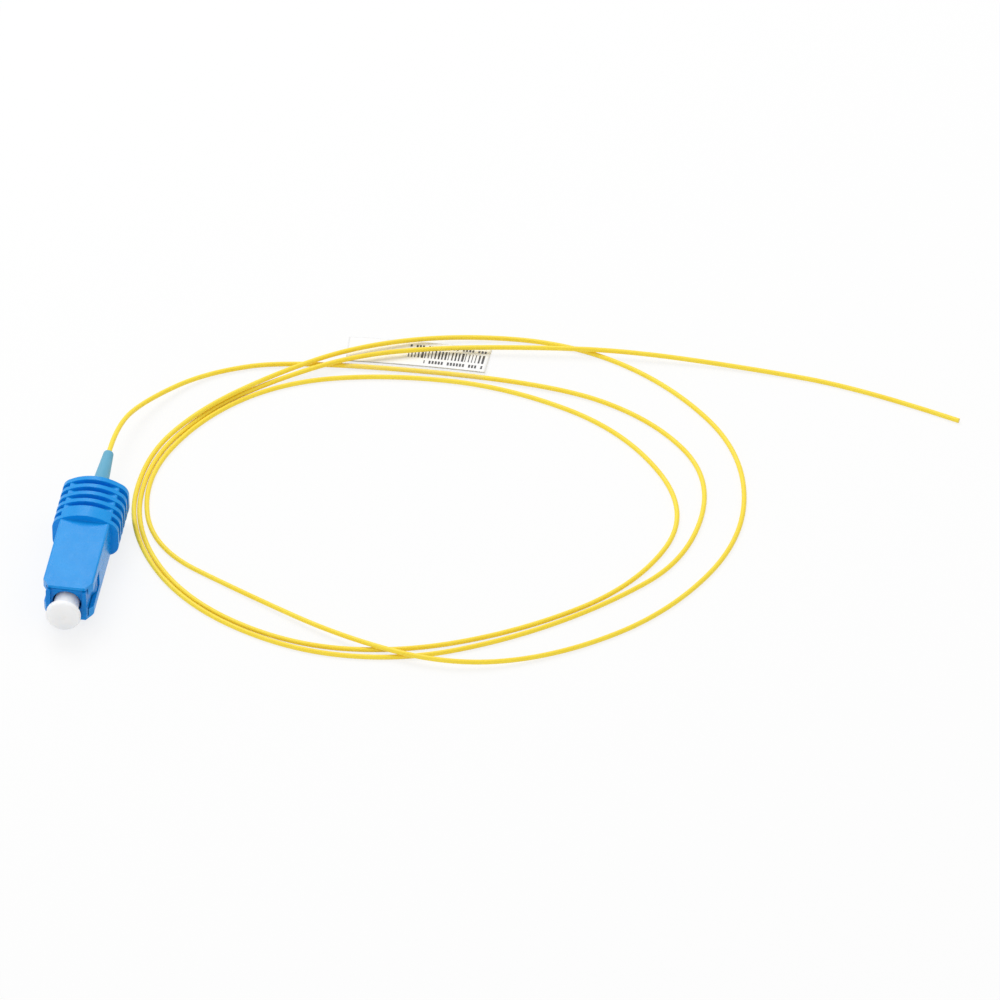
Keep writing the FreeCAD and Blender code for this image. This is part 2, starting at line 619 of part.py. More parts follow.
def make_rod(doc, label, diameter, start, end, at):
    """A straight round rod on the connector's axis."""
    rod = doc.addObject("Part::Cylinder", label)
    rod.Label = label
    rod.Placement = FreeCAD.Placement(FreeCAD.Vector(), FreeCAD.Rotation(FreeCAD.Vector(1, 0, 0), -90))
    rod.setExpression("Radius", (diameter / 2).text)
    rod.setExpression("Height", (end - start).text)
    rod.setExpression("Placement.Base.y", at.y(start).text)
    rod.setExpression("Placement.Base.z", at.axis_z.text)
    return rod


def fibre_path(points):
    """Straight runs joined by the largest tangent arcs that fit, as a wire; prints the bend radii."""
    edges = []
    radii = []
    here = points[0]
    for before, corner, after in zip(points, points[1:], points[2:]):
        arriving = (corner - before).normalize()
        leaving = (after - corner).normalize()
        half_turn = arriving.getAngle(leaving) / 2
        reach = ARC_SHARE * min(corner.distanceToPoint(before), corner.distanceToPoint(after))
        radius = reach / math.tan(half_turn)
        start = corner - arriving * reach
        end = corner + leaving * reach
        inward = (leaving - arriving).normalize()
        middle = corner + inward * (radius / math.cos(half_turn) - radius)
        edges.append(Part.LineSegment(here, start).toShape())
        edges.append(Part.Arc(start, middle, end).toShape())
        radii.append(round(radius, 1))
        here = end
    edges.append(Part.LineSegment(here, points[-1]).toShape())
    print("fibre bend radii, mm:", radii)
    return Part.Wire(edges)


def fibre_points(at):
    """The whole route, from the boot's tip."""
    exit_point = FreeCAD.Vector(0, at.y(at.boot_tip).value, at.axis_z.value)
    return [exit_point] + [FreeCAD.Vector(*point) for point in FIBRE_ROUTE]


def make_fibre_cord(doc, size, points):
    """The free buffered fibre, a round tube along its route."""
    path = fibre_path(points)
    radius = size["fibre_d"].value / 2
    ring = Part.Wire(Part.Circle(points[0], points[1] - points[0], radius).toShape())
    tube = path.makePipeShell([ring], True, False)
    expected = math.pi * radius ** 2 * path.Length
    print("fibre length %.1f mm, volume %.2f mm3, section times length %.2f mm3"
          % (path.Length, tube.Volume, expected))
    if abs(tube.Volume / expected - 1) > 0.002:
        raise RuntimeError("the fibre's volume is not its section times its length")
    cord = doc.addObject("Part::Feature", "fibre_cord")
    cord.Label = "fibre_cord"
    cord.Shape = tube
    return cord


def make_id_flag(doc, size, points):
    """A small flag label: a film folded round the fibre, its two plies stuck together beside it."""
    inner = size["fibre_d"] / 2 + size["flag_gap"]
    fold = doc.addObject("Part::Cylinder", "flag_fold")
    fold.setExpression("Radius", (inner + size["flag_ply"]).text)
    fold.setExpression("Height", size["flag_length"].text)
    tab = doc.addObject("Part::Box", "flag_tab")
    tab.setExpression("Length", (size["flag_ply"] * 2).text)
    tab.setExpression("Width", size["flag_width"].text)
    tab.setExpression("Height", size["flag_length"].text)
    tab.setExpression("Placement.Base.x", (-size["flag_ply"]).text)
    film = doc.addObject("Part::Fuse", "flag_film")
    film.Base = fold
    film.Tool = tab
    bore = doc.addObject("Part::Cylinder", "flag_bore")
    bore.setExpression("Radius", inner.text)
    bore.setExpression("Height", size["flag_length"].text)
    flag = doc.addObject("Part::Cut", "id_flag")
    flag.Label = "id_flag"
    flag.Base = film
    flag.Tool = bore
    # the film is drawn round Z with its tab towards +Y, then laid along the run, tab away and leaning down
    start, end = (points[index] for index in FLAG_RUN)
    along = (end - start).normalize()
    away = FreeCAD.Vector(0, 0, 1).cross(along)
    lay = FreeCAD.Rotation(away.cross(along), away, along, "ZYX")
    droop = FreeCAD.Rotation(along, -FLAG_DROOP)
    flag.Placement = FreeCAD.Placement(start + along * size["flag_start"].value, droop * lay)
    return flag


def check(doc, pieces):
    """Stops if anything in the document failed or a piece isn't one sound solid."""
    for item in doc.Objects:
        if "Invalid" in item.State or "Error" in item.State:
            raise RuntimeError(item.Name + " failed: " + str(item.State))
    for piece in pieces:
        shape = piece.Shape
        if shape.isNull() or not shape.isValid() or len(shape.Solids) != 1:
            raise RuntimeError(piece.Label + " is not one sound solid")
        box = shape.BoundBox
        print("%-15s %9.2f mm3  x %7.2f %7.2f  y %7.2f %7.2f  z %6.2f %6.2f" % (
            piece.Label, shape.Volume, box.XMin, box.XMax, box.YMin, box.YMax, box.ZMin, box.ZMax))


def main():
    doc = FreeCAD.newDocument("pigtail")
    size = make_sheet(doc)
    at = Layout(size)
    points = fibre_points(at)
    pieces = [
        make_grip_sleeve(doc, size, at),
        make_plug_frame(doc, size, at),
        make_ferrule(doc, size, at),
        make_ferrule_flange(doc, size, at),
        make_spring(doc, size, at),
        make_spring_stop(doc, size, at),
        make_boot(doc, size, at),
        make_dust_cap(doc, size, at),
        make_rod(doc, "inner_fibre", size["fibre_d"], size["buffer_start"], at.boot_tip, at),
        make_rod(doc, "glass_fibre", size["glass_d"], -size["ferrule_reach"], size["buffer_start"], at),
        make_fibre_cord(doc, size, points),
        make_id_flag(doc, size, points),
    ]
    doc.recompute()
    check(doc, pieces)
    os.makedirs("parts", exist_ok=True)
    for piece in pieces:
        piece.Shape.exportStep(os.path.join("parts", piece.Label + ".step"))


main()
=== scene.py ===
# %% [markdown]
# # A fibre optic pigtail
# A pigtail is one metre of thin buffered fibre with a connector on one end only. The other end is bare,
# ready to be spliced. This lesson dresses the measured solids of the connector and lays the fibre in the
# loose loops that it came out of its bag in. Lengths are in metres, because Blender's are, and small
# sizes are written as millimetres times MM.

# %% Load the solids
import math

import bmesh
import bpy
import numpy as np
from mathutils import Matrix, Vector


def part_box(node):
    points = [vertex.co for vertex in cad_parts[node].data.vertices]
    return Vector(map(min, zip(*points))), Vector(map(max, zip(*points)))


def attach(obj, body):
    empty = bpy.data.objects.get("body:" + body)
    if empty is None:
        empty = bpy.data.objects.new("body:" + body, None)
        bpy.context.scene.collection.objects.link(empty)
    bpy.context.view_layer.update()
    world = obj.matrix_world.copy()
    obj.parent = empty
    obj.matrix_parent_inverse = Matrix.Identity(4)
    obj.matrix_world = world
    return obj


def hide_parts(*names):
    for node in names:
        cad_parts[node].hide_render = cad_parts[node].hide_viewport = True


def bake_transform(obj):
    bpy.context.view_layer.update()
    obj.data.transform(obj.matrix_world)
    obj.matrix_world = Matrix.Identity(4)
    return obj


MM = 0.001
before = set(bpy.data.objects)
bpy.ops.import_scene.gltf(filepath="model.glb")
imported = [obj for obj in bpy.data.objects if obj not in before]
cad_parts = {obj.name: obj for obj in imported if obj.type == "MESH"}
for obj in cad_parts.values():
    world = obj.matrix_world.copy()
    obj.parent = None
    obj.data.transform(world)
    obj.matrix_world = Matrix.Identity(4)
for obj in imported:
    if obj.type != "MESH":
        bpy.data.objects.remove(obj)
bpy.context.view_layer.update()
print("solids:", sorted(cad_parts))

# %% [markdown]
# ## The camera
# The picture was taken from far off with a long lens, so that parallel edges stay parallel. A camera can
# be pushed about by hand until it fits, but then nobody can read why it stands there. Here its place
# follows from two angles, the point in the middle of the picture and a distance: it looks down by about
# forty degrees and stands a little to the right of the connector's axis.

# %% Camera
VIEW_DOWN = math.radians(41.0)
VIEW_TURN = math.radians(8.9)
VIEW_MIDDLE = Vector((70.72, 26.40, 0.0)) * MM
VIEW_DISTANCE = 2.0
LENS_PER_WIDTH = 11.118
SENSOR_WIDTH = 36.0


def add_camera():
    """Position is the middle of the picture minus the viewing direction times the distance."""
    forward = Vector((
        -math.sin(VIEW_TURN) * math.cos(VIEW_DOWN),
        math.cos(VIEW_TURN) * math.cos(VIEW_DOWN),
        -math.sin(VIEW_DOWN),
    ))
    lens = bpy.data.cameras.new("camera")
    lens.sensor_width = SENSOR_WIDTH
    lens.lens = LENS_PER_WIDTH * SENSOR_WIDTH
    lens.clip_end = 20.0
    camera = bpy.data.objects.new("camera", lens)
    camera.location = VIEW_MIDDLE - forward * VIEW_DISTANCE
    camera.rotation_euler = forward.to_track_quat("-Z", "Y").to_euler()
    bpy.context.scene.collection.objects.link(camera)
    bpy.context.scene.camera = camera
    return camera


camera = add_camera()
bpy.context.scene.view_settings.view_transform = "Standard"
print("camera at", [round(x, 4) for x in camera.location], "lens %.1f mm" % camera.data.lens)

# %% [markdown]
# ## The route of the fibre
# The fibre leaves the boot straight, sinks to the table and runs three times round a loose oval before it
# drifts off to the right. A physics run could let it fall into place, but it would never fall into these
# loops. So the route is a list of given points. They are not points on the fibre: they are the control
# points of a smooth spline, which cuts the corners as a springy fibre does. Where one turn passes over
# another, or several lie close together at the left, points are lifted into a long low hump.

# %% Fibre route
FIBRE_D = 0.9 * MM
boot_low, boot_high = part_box("boot")
AXIS_Z = (boot_low.z + boot_high.z) / 2
FIBRE_EXIT = (0.0, boot_high.y, AXIS_Z)
ROUTE_MM = [
    (0.0, 30.6, 4.95), (3.4, 41.5, 2.1), (12.5, 52.6, 0.5),
    (27.9, 58.4, 0.6), (73.9, 59.3, 0.6), (94.5, 52.4, 0.45), (107.9, 37.6, 0.45),
    (106.5, 15.1, 0.45), (93.6, 0.4, 0.45), (77.7, -11.5, 0.45), (59.8, -19.7, 0.45),
    (39.3, -19.9, 0.45), (18.4, -10.1, 0.45), (6.0, 7.9, 0.45), (5.6, 27.6, 0.45),
    (12.8, 40.5, 1.45), (24.7, 52.3, 1.8), (38.5, 62.9, 1.6), (56.3, 69.8, 0.8),
    (77.3, 70.9, 0.45), (96.4, 62.3, 0.45), (112.2, 45.7, 0.45), (115.8, 22.2, 0.45),
    (105.1, 0.1, 0.45), (87.3, -14.2, 0.45), (69.3, -20.7, 1.5), (49.2, -16.3, 1.5),
    (29.5, -6.1, 0.45), (11.1, 3.4, 0.45), (6.4, 21.9, 0.45), (13.6, 39.9, 0.45),
    (26.8, 52.2, 0.45), (45.6, 57.2, 0.45), (67.5, 57.0, 0.45), (90.5, 48.0, 0.45),
    (105.5, 27.6, 0.45), (98.3, 6.5, 0.45), (80.1, -8.5, 0.45), (59.2, -17.7, 0.45),
    (38.9, -18.4, 0.45), (18.8, -9.0, 0.45), (7.1, 8.1, 0.45), (6.5, 27.0, 0.45),
    (14.5, 42.4, 0.45), (25.0, 51.7, 0.95), (38.7, 60.0, 1.85), (53.8, 65.3, 1.2),
    (70.3, 67.6, 1.5), (87.3, 69.3, 1.5), (110.3, 69.1, 0.45), (131.3, 66.5, 0.45),
    (149.6, 60.4, 0.45),
]
route = np.vstack([FIBRE_EXIT, np.array(ROUTE_MM) * MM])
print("fibre route:", len(route), "points, axis height %.5f m" % AXIS_Z)

# %% [markdown]
# ## Laying the fibre
# The buffer is a plain round tube. A mesh tube swept along the route would do, but a curve object keeps
# the line and the thickness apart, so the line can be read again later by the pieces that sit on it. Each
# point carries the tube's radius and the bevel takes it as it is, because Blender works out a curve's box
# from the radius of its points.

# %% Buffered fibre


def lay_fibre():
    """A round tube along one smooth spline: each point pulls on the line without being touched by it."""
    curve = bpy.data.curves.new("buffered_fibre", "CURVE")
    curve.dimensions = "3D"
    spline = curve.splines.new("NURBS")
    spline.points.add(len(route) - 1)
    spline.points.foreach_set("co", np.column_stack([route, np.ones(len(route))]).ravel())
    spline.points.foreach_set("radius", np.full(len(route), FIBRE_D / 2))
    spline.order_u = 3
    spline.use_endpoint_u = True
    spline.resolution_u = 16
    curve.bevel_depth = 1.0
    curve.bevel_resolution = 6
    curve.use_fill_caps = True
    fibre = bpy.data.objects.new("buffered_fibre", curve)
    bpy.context.scene.collection.objects.link(fibre)
    return fibre


def fibre_line():
    """Points on the spline itself, read from a copy of the curve that has no thickness."""
    bare = fibre.data.copy()
    bare.bevel_depth = 0.0
    holder = bpy.data.objects.new("bare_line", bare)
    mesh = bpy.data.meshes.new_from_object(holder)
    points = np.empty(len(mesh.vertices) * 3)
    mesh.vertices.foreach_get("co", points)
    bpy.data.objects.remove(holder)
    bpy.data.meshes.remove(mesh)
    bpy.data.curves.remove(bare)
    return points.reshape(-1, 3)


fibre = lay_fibre()
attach(fibre, "plug")
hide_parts("fibre_cord")
line = fibre_line()
print("fibre line: %.4f m" % np.linalg.norm(np.diff(line, axis=0), axis=1).sum())

# %% [markdown]
# ## Turning arrays into meshes
# Most new pieces here are surfaces on a grid: rows of points along one direction, columns along the
# other. They could be drawn with Blender's own primitives and tools, but a grid of points that comes from
# a formula can be read and changed. Three helpers do the bookkeeping. One lists the four corners of every
# cell of the grid, one shades a mesh and puts it into the scene, and the last puts points and cells into
# a mesh, closes the seams and makes all faces look outwards.

# %% Grid helpers
MERGE_DISTANCE = 1e-7


def grid_cells(rows, columns, closed_columns=False):
    """Corner numbers of every cell: point (i, j) has number i * columns + j, and closed columns wrap."""
    i = np.arange(rows - 1)[:, None]
    j = np.arange(columns if closed_columns else columns - 1)[None, :]
    beside = (j + 1) % columns
    near, far = i * columns, (i + 1) * columns
    return np.stack([near + j, near + beside, far + beside, far + j], -1).reshape(-1, 4)


def place_mesh(name, mesh, sharp_degrees):
    """Shades a mesh smooth, apart from edges sharper than an angle, and puts it into the scene."""
    mesh.shade_smooth()
    mesh.set_sharp_from_angle(angle=math.radians(sharp_degrees))
    piece = bpy.data.objects.new(name, mesh)
    bpy.context.scene.collection.objects.link(piece)
    return piece


def mesh_piece(name, points, cells, sharp_degrees=35.0):
    """Puts points and cells into a mesh, merges what coincides and turns the faces outwards."""
    mesh = bpy.data.meshes.new(name)
    mesh.from_pydata(points.reshape(-1, 3).tolist(), [], cells.tolist())
    work = bmesh.new()
    work.from_mesh(mesh)
    bmesh.ops.remove_doubles(work, verts=work.verts, dist=MERGE_DISTANCE)
    bmesh.ops.recalc_face_normals(work, faces=work.faces)
    work.to_mesh(mesh)
    work.free()
    print(name, len(mesh.polygons), "faces")
    return place_mesh(name, mesh, sharp_degrees)


print("3 rows of 4 points have", len(grid_cells(3, 4)), "cells, closed", len(grid_cells(3, 4, True)))

# %% [markdown]
# ## Rounding a profile
# The dust cap, the boot and the cut end of the fibre are round, so each is one profile carried round an
# axis. A mould has no knife edges, and a Bevel modifier could round them, but with the corners rounded in
# the profile each gets a radius of its own. For a corner with radius r that turns by an angle a, the
# rounding starts r * tan(a / 2) before the corner and follows an arc to the same distance behind it.

# %% Rounded profile
ARC_STEPS = 7


def rounded_profile(corners, radii):
    """Replaces every inner corner of an open profile by an arc, all corners at once as arrays."""
    corners = np.array(corners, float)
    radii = np.array(radii, float)[1:-1, None]
    before, corner, after = corners[:-2], corners[1:-1], corners[2:]
    arriving = (corner - before) / np.linalg.norm(corner - before, axis=1, keepdims=True)
    leaving = (after - corner) / np.linalg.norm(after - corner, axis=1, keepdims=True)
    turn = np.arccos(np.clip((arriving * leaving).sum(1, keepdims=True), -1, 1))
    start = (corner - arriving * radii * np.tan(turn / 2))[:, None, :]
    # an arc is the start plus the two directions, weighted by sines of the angle turned so far
    angle = turn[:, None, :]
    so_far = angle * np.linspace(0, 1, ARC_STEPS)[None, :, None]
    along = (np.cos(angle - so_far) - np.cos(angle)) / np.sin(angle)
    across = (1 - np.cos(so_far)) / np.sin(angle)
    arcs = start + radii[:, None, :] * (along * arriving[:, None, :] + across * leaving[:, None, :])
    return np.vstack([corners[:1], arcs.reshape(-1, 2), corners[-1:]])


def turned_piece(name, profile, start, axis, sides=96):
    """Point (i, j): start + axis * along i + radius i * (level * cos(angle j) + up * sin(angle j))."""
    axis = np.array(axis, float) / np.linalg.norm(axis)
    level = np.cross((0.0, 0.0, 1.0), axis)
    up = np.cross(axis, level)
    angle = np.linspace(0, 2 * np.pi, sides, endpoint=False)
    around = np.cos(angle)[:, None] * level + np.sin(angle)[:, None] * up
    spine = np.array(start) + profile[:, :1] * axis
    points = spine[:, None, :] + profile[:, 1][:, None, None] * around[None, :, :]
    return mesh_piece(name, points, grid_cells(len(profile), sides, closed_columns=True))


print("a square corner becomes", len(rounded_profile([(0, 0), (1, 0), (1, 1)], [0, 0.2, 0])), "points")

# %% [markdown]
# ## The dust cap
# A soft white plug keeps dirt off the ferrule until the connector is used. It is a blind tube with a
# flared end that a finger nail gets behind, and its end has the small dimple of the mould's gate. The
# solid has the same steps, but the profile here rounds each of them one by one, because a soft plastic cap
# has no sharp edge anywhere.

# %% Dust cap
cap_low, cap_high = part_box("dust_cap")
CAP_LENGTH = cap_high.y - cap_low.y
CAP_FLANGE_R = (cap_high.x - cap_low.x) / 2
CAP_TUBE_R = 2.25 * MM
CAP_BORE_R = 1.28 * MM
CAP_END_WALL = 2.8 * MM
CAP_FLANGE = 1.1 * MM
CAP_FLARE = 1.1 * MM
GATE_R = 0.45 * MM
GATE_DEPTH = 0.1 * MM

cap_profile = rounded_profile(
    [
        (GATE_DEPTH, 0), (GATE_DEPTH, GATE_R), (0, GATE_R), (0, CAP_FLANGE_R), (CAP_FLANGE, CAP_FLANGE_R),
        (CAP_FLANGE + CAP_FLARE, CAP_TUBE_R), (CAP_LENGTH, CAP_TUBE_R), (CAP_LENGTH, CAP_BORE_R),
        (CAP_END_WALL, CAP_BORE_R), (CAP_END_WALL, 0),
    ],
    np.array([0, 0.04, 0.04, 0.42, 0.35, 0.9, 0.15, 0.12, 0.2, 0]) * MM,
)
dust_cap = turned_piece("soft_dust_cap", cap_profile, (0.0, cap_low.y, AXIS_Z), (0, 1, 0))
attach(dust_cap, "cap")
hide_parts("dust_cap")

# %% [markdown]
# ## The boot
# The boot keeps the fibre from being bent sharply where it leaves the connector. It is a slim soft cone,
# thick where it is pushed over the barb and thin at its tip, where a small rounding meets the fibre. It
# is one more profile: out along the collar, down the cone, round the tip and back through the bore.

# %% Boot
BOOT_LENGTH = boot_high.y - boot_low.y
BOOT_COLLAR_R = (boot_high.x - boot_low.x) / 2
BOOT_COLLAR = 2.2 * MM
BOOT_ROOT_R = 1.83 * MM
BOOT_TIP_R = 0.92 * MM
BOOT_BORE_R = 0.48 * MM
BOOT_BARB_R = 1.13 * MM
BOOT_BARB_END = 6.03 * MM

boot_profile = rounded_profile(
    [
        (0, BOOT_BARB_R), (0, BOOT_COLLAR_R), (BOOT_COLLAR, BOOT_COLLAR_R), (BOOT_COLLAR, BOOT_ROOT_R),
        (BOOT_LENGTH, BOOT_TIP_R), (BOOT_LENGTH, BOOT_BORE_R), (BOOT_BARB_END, BOOT_BORE_R),
        (BOOT_BARB_END, BOOT_BARB_R), (0, BOOT_BARB_R),
    ],
    np.array([0, 0.2, 0.3, 0.25, 0.3, 0.06, 0.1, 0.1, 0]) * MM,
)
boot = turned_piece("slim_boot", boot_profile, (0.0, boot_low.y, AXIS_Z), (0, 1, 0))
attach(boot, "plug")
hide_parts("boot")

# %% [markdown]
# ## Softening moulded edges
# The sleeve and the plug frame are already right, but their solids have knife edges, and a real moulding
# catches the light along a small rounding. Building them again would only repeat the solids. Instead a
# copy of the mesh is merged, its flat triangles are joined to whole faces, and a Bevel modifier rounds
# every edge that is sharper than a set angle.

# %% Softened mouldings
FLAT_DEGREES = 0.5
SHARP_DEGREES = 28.0
ROUNDING_STEPS = 3
SLEEVE_ROUNDING = 0.1 * MM
PLUG_ROUNDING = 0.07 * MM


def softened_moulding(node, name, rounding):
    """A copy of a solid's mesh with its flat faces joined and its sharp edges rounded."""
    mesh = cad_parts[node].data.copy()
    mesh.name = name
    mesh.materials.clear()
    work = bmesh.new()
    work.from_mesh(mesh)
    bmesh.ops.remove_doubles(work, verts=work.verts, dist=MERGE_DISTANCE)
    bmesh.ops.dissolve_limit(
        work, angle_limit=math.radians(FLAT_DEGREES), verts=work.verts, edges=work.edges)
    work.to_mesh(mesh)
    work.free()
    piece = place_mesh(name, mesh, SHARP_DEGREES)
    bevel = piece.modifiers.new("edge_rounding", "BEVEL")
    bevel.width = rounding
    bevel.segments = ROUNDING_STEPS
    bevel.limit_method = "ANGLE"
    bevel.angle_limit = math.radians(SHARP_DEGREES)
    bevel.use_clamp_overlap = True
    bevel.harden_normals = True
    print(name, len(mesh.polygons), "faces before rounding")
    return piece


sleeve = softened_moulding("grip_sleeve", "ribbed_sleeve", SLEEVE_ROUNDING)
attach(sleeve, "sleeve")
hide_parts("grip_sleeve")
plug = softened_moulding("plug_frame", "inner_plug", PLUG_ROUNDING)
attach(plug, "plug")
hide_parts("plug_frame")

# %% [markdown]
# ## The spring
# Behind the ferrule sits a coil of steel wire that keeps two mated ferrules pressed together. When the
# ferrule is pushed in, the real coil gets shorter, which a solid that only moves as a whole can't do.
# Here the coil is made again, as a round tube along a helix.

# %% Spring
spring_low, spring_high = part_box("spring")
WIRE_R = 0.225 * MM
COIL_PITCH = 1.1 * MM
STEPS_PER_TURN = 40
WIRE_SIDES = 16


def coil_of_wire(name, low, high):
    """Point (i, j): helix point i + wire radius i * (outwards * cos(angle j) + across * sin(angle j))."""
    coil_r = (high.x - low.x) / 2 - WIRE_R
    rise = high.y - low.y - 2 * WIRE_R
    turns = rise / COIL_PITCH
    turned = np.linspace(0, 2 * np.pi * turns, round(turns * STEPS_PER_TURN))
    # the first and last places come twice, once with no radius, so that both ends are closed
    turned = np.concatenate([turned[:1], turned, turned[-1:]])
    wire_r = np.full(len(turned), WIRE_R)
    wire_r[[0, -1]] = 0.0
    level = np.zeros(len(turned))
    outwards = np.column_stack([np.sin(turned), level, np.cos(turned)])
    forward = np.column_stack([np.cos(turned), level + COIL_PITCH / (2 * np.pi * coil_r), -np.sin(turned)])
    across = np.cross(forward, outwards)
    across /= np.linalg.norm(across, axis=1, keepdims=True)
    helix = outwards * coil_r + (0.0, low.y + WIRE_R, AXIS_Z)
    helix[:, 1] += turned * COIL_PITCH / (2 * np.pi)
    angle = np.linspace(0, 2 * np.pi, WIRE_SIDES, endpoint=False)[None, :, None]
    section = np.cos(angle) * outwards[:, None, :] + np.sin(angle) * across[:, None, :]
    points = helix[:, None, :] + wire_r[:, None, None] * section
    return mesh_piece(name, points, grid_cells(len(turned), WIRE_SIDES, closed_columns=True))


spring = coil_of_wire("coil_spring", spring_low, spring_high)
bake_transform(spring)
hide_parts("spring")

# %% [markdown]
# ## The flag label
# A strip of film is folded once round the fibre and stuck to itself, so that it stands out like a flag.
# Round the fibre the film is clear, and the two plies of the flag are coated white for the print. It could
# be one flat card, but then it would cut through the fibre. So the film is a line in section, carried
# along the points of the fibre's own spline. First those points, with a direction along the fibre, one
# away from it and one up at each of them.

# %% Where the label sits
FLAG_RUN = (4, 5)
FLAG_START = 9.2 * MM
FLAG_LENGTH = 25.5 * MM
FLAG_STEPS = 49


def label_places():
    """The fibre's place at each step along the label, with the unit vectors along, away and up there."""
    start, end = route[FLAG_RUN[0]], route[FLAG_RUN[1]]
    run = np.linalg.norm(end - start)
    reach = (line - start) @ (end - start) / run
    past = np.argmax(reach > run)
    wanted = FLAG_START + FLAG_LENGTH * np.linspace(0, 1, FLAG_STEPS)
    middle = np.stack([np.interp(wanted, reach[:past], line[:past, axis]) for axis in range(3)], 1)
    along = np.gradient(middle, axis=0)
    along /= np.linalg.norm(along, axis=1, keepdims=True)
    away = np.cross((0.0, 0.0, 1.0), along)
    away /= np.linalg.norm(away, axis=1, keepdims=True)
    return middle, away, np.cross(along, away)


label_middle, label_away, label_up = label_places()
print("label from", (label_middle[0] / MM).round(2), "to", (label_middle[-1] / MM).round(2), "mm")

# %% [markdown]
# ## Film carried along the fibre
# Both parts of the label lean down to the table by the same small angle, and both are thin films. One
# helper carries any line in section along those places and keeps the film's own coordinates as a UV map:
# along the fibre, and along the film. A Solidify modifier then gives the film its thickness, which is
# simpler than modelling both sides.

# %% Film helper
FILM = 0.1 * MM
FLAG_WIDTH = 8.6 * MM
DROOP = math.radians(2.9)
EDGE_WAVE = 0.025 * MM
WAVE_ANGLE = 7.0


def film_piece(name, section, film, breaks=()):
    """Point (i, j): place i + away * (x cos + y sin) + up * (y cos - x sin), section point j = (x, y)."""
    out = section[:, 0] * math.cos(DROOP) + section[:, 1] * math.sin(DROOP)
    rise = section[:, 1] * math.cos(DROOP) - section[:, 0] * math.sin(DROOP)
    share = np.linspace(0, 1, FLAG_STEPS)
    # the free edge is not quite flat: it waves by some hundredths of a millimetre
    looseness = (np.clip(section[:, 0], 0, None) / FLAG_WIDTH) ** 2
    wave = EDGE_WAVE * np.sin(WAVE_ANGLE * share)[:, None] * looseness[None, :]
    points = (
        label_middle[:, None, :]
        + out[None, :, None] * label_away[:, None, :]
        + (rise[None, :] + wave)[:, :, None] * label_up[:, None, :]
    )
    cells = grid_cells(FLAG_STEPS, len(section))
    kept = ~np.isin(cells[:, 0] % len(section), breaks)
    piece = mesh_piece(name, points, cells[kept], sharp_degrees=60.0)
    grid = np.stack(np.meshgrid(share, film, indexing="ij"), -1).reshape(-1, 2)
    corner = np.empty(len(piece.data.loops), np.int32)
    piece.data.loops.foreach_get("vertex_index", corner)
    piece.data.uv_layers.new(name="film").data.foreach_set("uv", grid[corner].ravel())
    wall = piece.modifiers.new("film_thickness", "SOLIDIFY")
    wall.thickness = FILM
    wall.offset = 0.0
    return piece


print("film %.2f mm thick, flag %.1f mm wide" % (FILM / MM, FLAG_WIDTH / MM))

# %% [markdown]
# ## White plies and clear fold
# The two white plies lie back to back with a hair between them. The clear fold comes in from the upper
# ply, goes round the fibre as a teardrop and leaves to the lower ply: an arc, and two run-outs, each a
# cubic that comes in level with its ply.

# %% Flag plies and fold
PLY_OFFSET = 0.055 * MM
FOLD_SLACK = 0.08 * MM
FOLD_R = FIBRE_D / 2 + FOLD_SLACK
FOLD_OPENING = math.radians(62)
FOLD_RUN_OUT = 1.5 * MM
FOLD_GAP = 0.01 * MM


def ply_section(steps=30):
    """Two level lines: the upper ply from its free edge inwards, then the lower ply outwards."""
    away = np.linspace(FLAG_WIDTH, FOLD_RUN_OUT, steps)
    upper = np.stack([away, np.full(steps, PLY_OFFSET)], 1)
    film = np.concatenate([np.linspace(0, 1, steps), np.linspace(1, 2, steps)])
    return np.vstack([upper, upper[::-1] * (1, -1)]), film


def fold_section(lip_steps=12, fold_steps=40):
    """A run-out, an arc of radius FOLD_R round the fibre from opening to opening, and the other run-out."""
    lip = FOLD_R * np.array([math.cos(FOLD_OPENING), math.sin(FOLD_OPENING)])
    share = np.linspace(1, 0, lip_steps)[:-1]
    rise = (1 - share) ** 2 * (1 + 0.6 * share)
    across = lip[0] + (FOLD_RUN_OUT - FOLD_GAP - lip[0]) * share
    run_out = np.stack([across, PLY_OFFSET + (lip[1] - PLY_OFFSET) * rise], 1)
    angle = np.linspace(FOLD_OPENING, 2 * np.pi - FOLD_OPENING, fold_steps)
    fold = FOLD_R * np.stack([np.cos(angle), np.sin(angle)], 1)
    section = np.vstack([run_out, fold, run_out[::-1] * (1, -1)])
    return section, np.linspace(0, 1, len(section))


plies, ply_film = ply_section()
flag = film_piece("flag_label", plies, ply_film, breaks=[len(plies) // 2 - 1])
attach(flag, "plug")
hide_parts("id_flag")
wrap = film_piece("label_wrap", *fold_section())
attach(wrap, "plug")

# %% [markdown]
# ## The cut end
# The far end is simply cut. Looked at closely, the yellow buffer has a clear coated fibre in its middle.
# The curve's own flat cap can't show that, so a short plug sits in the end of the tube and stands a hair
# proud of it, slightly domed as a blade leaves it. Each point keeps its distance from the middle as an
# attribute, and the finish draws its rings from that.

# %% Cut end of the fibre
CUT_R = 0.435 * MM
CUT_DEPTH = 0.3 * MM
CUT_DOME = 0.06 * MM


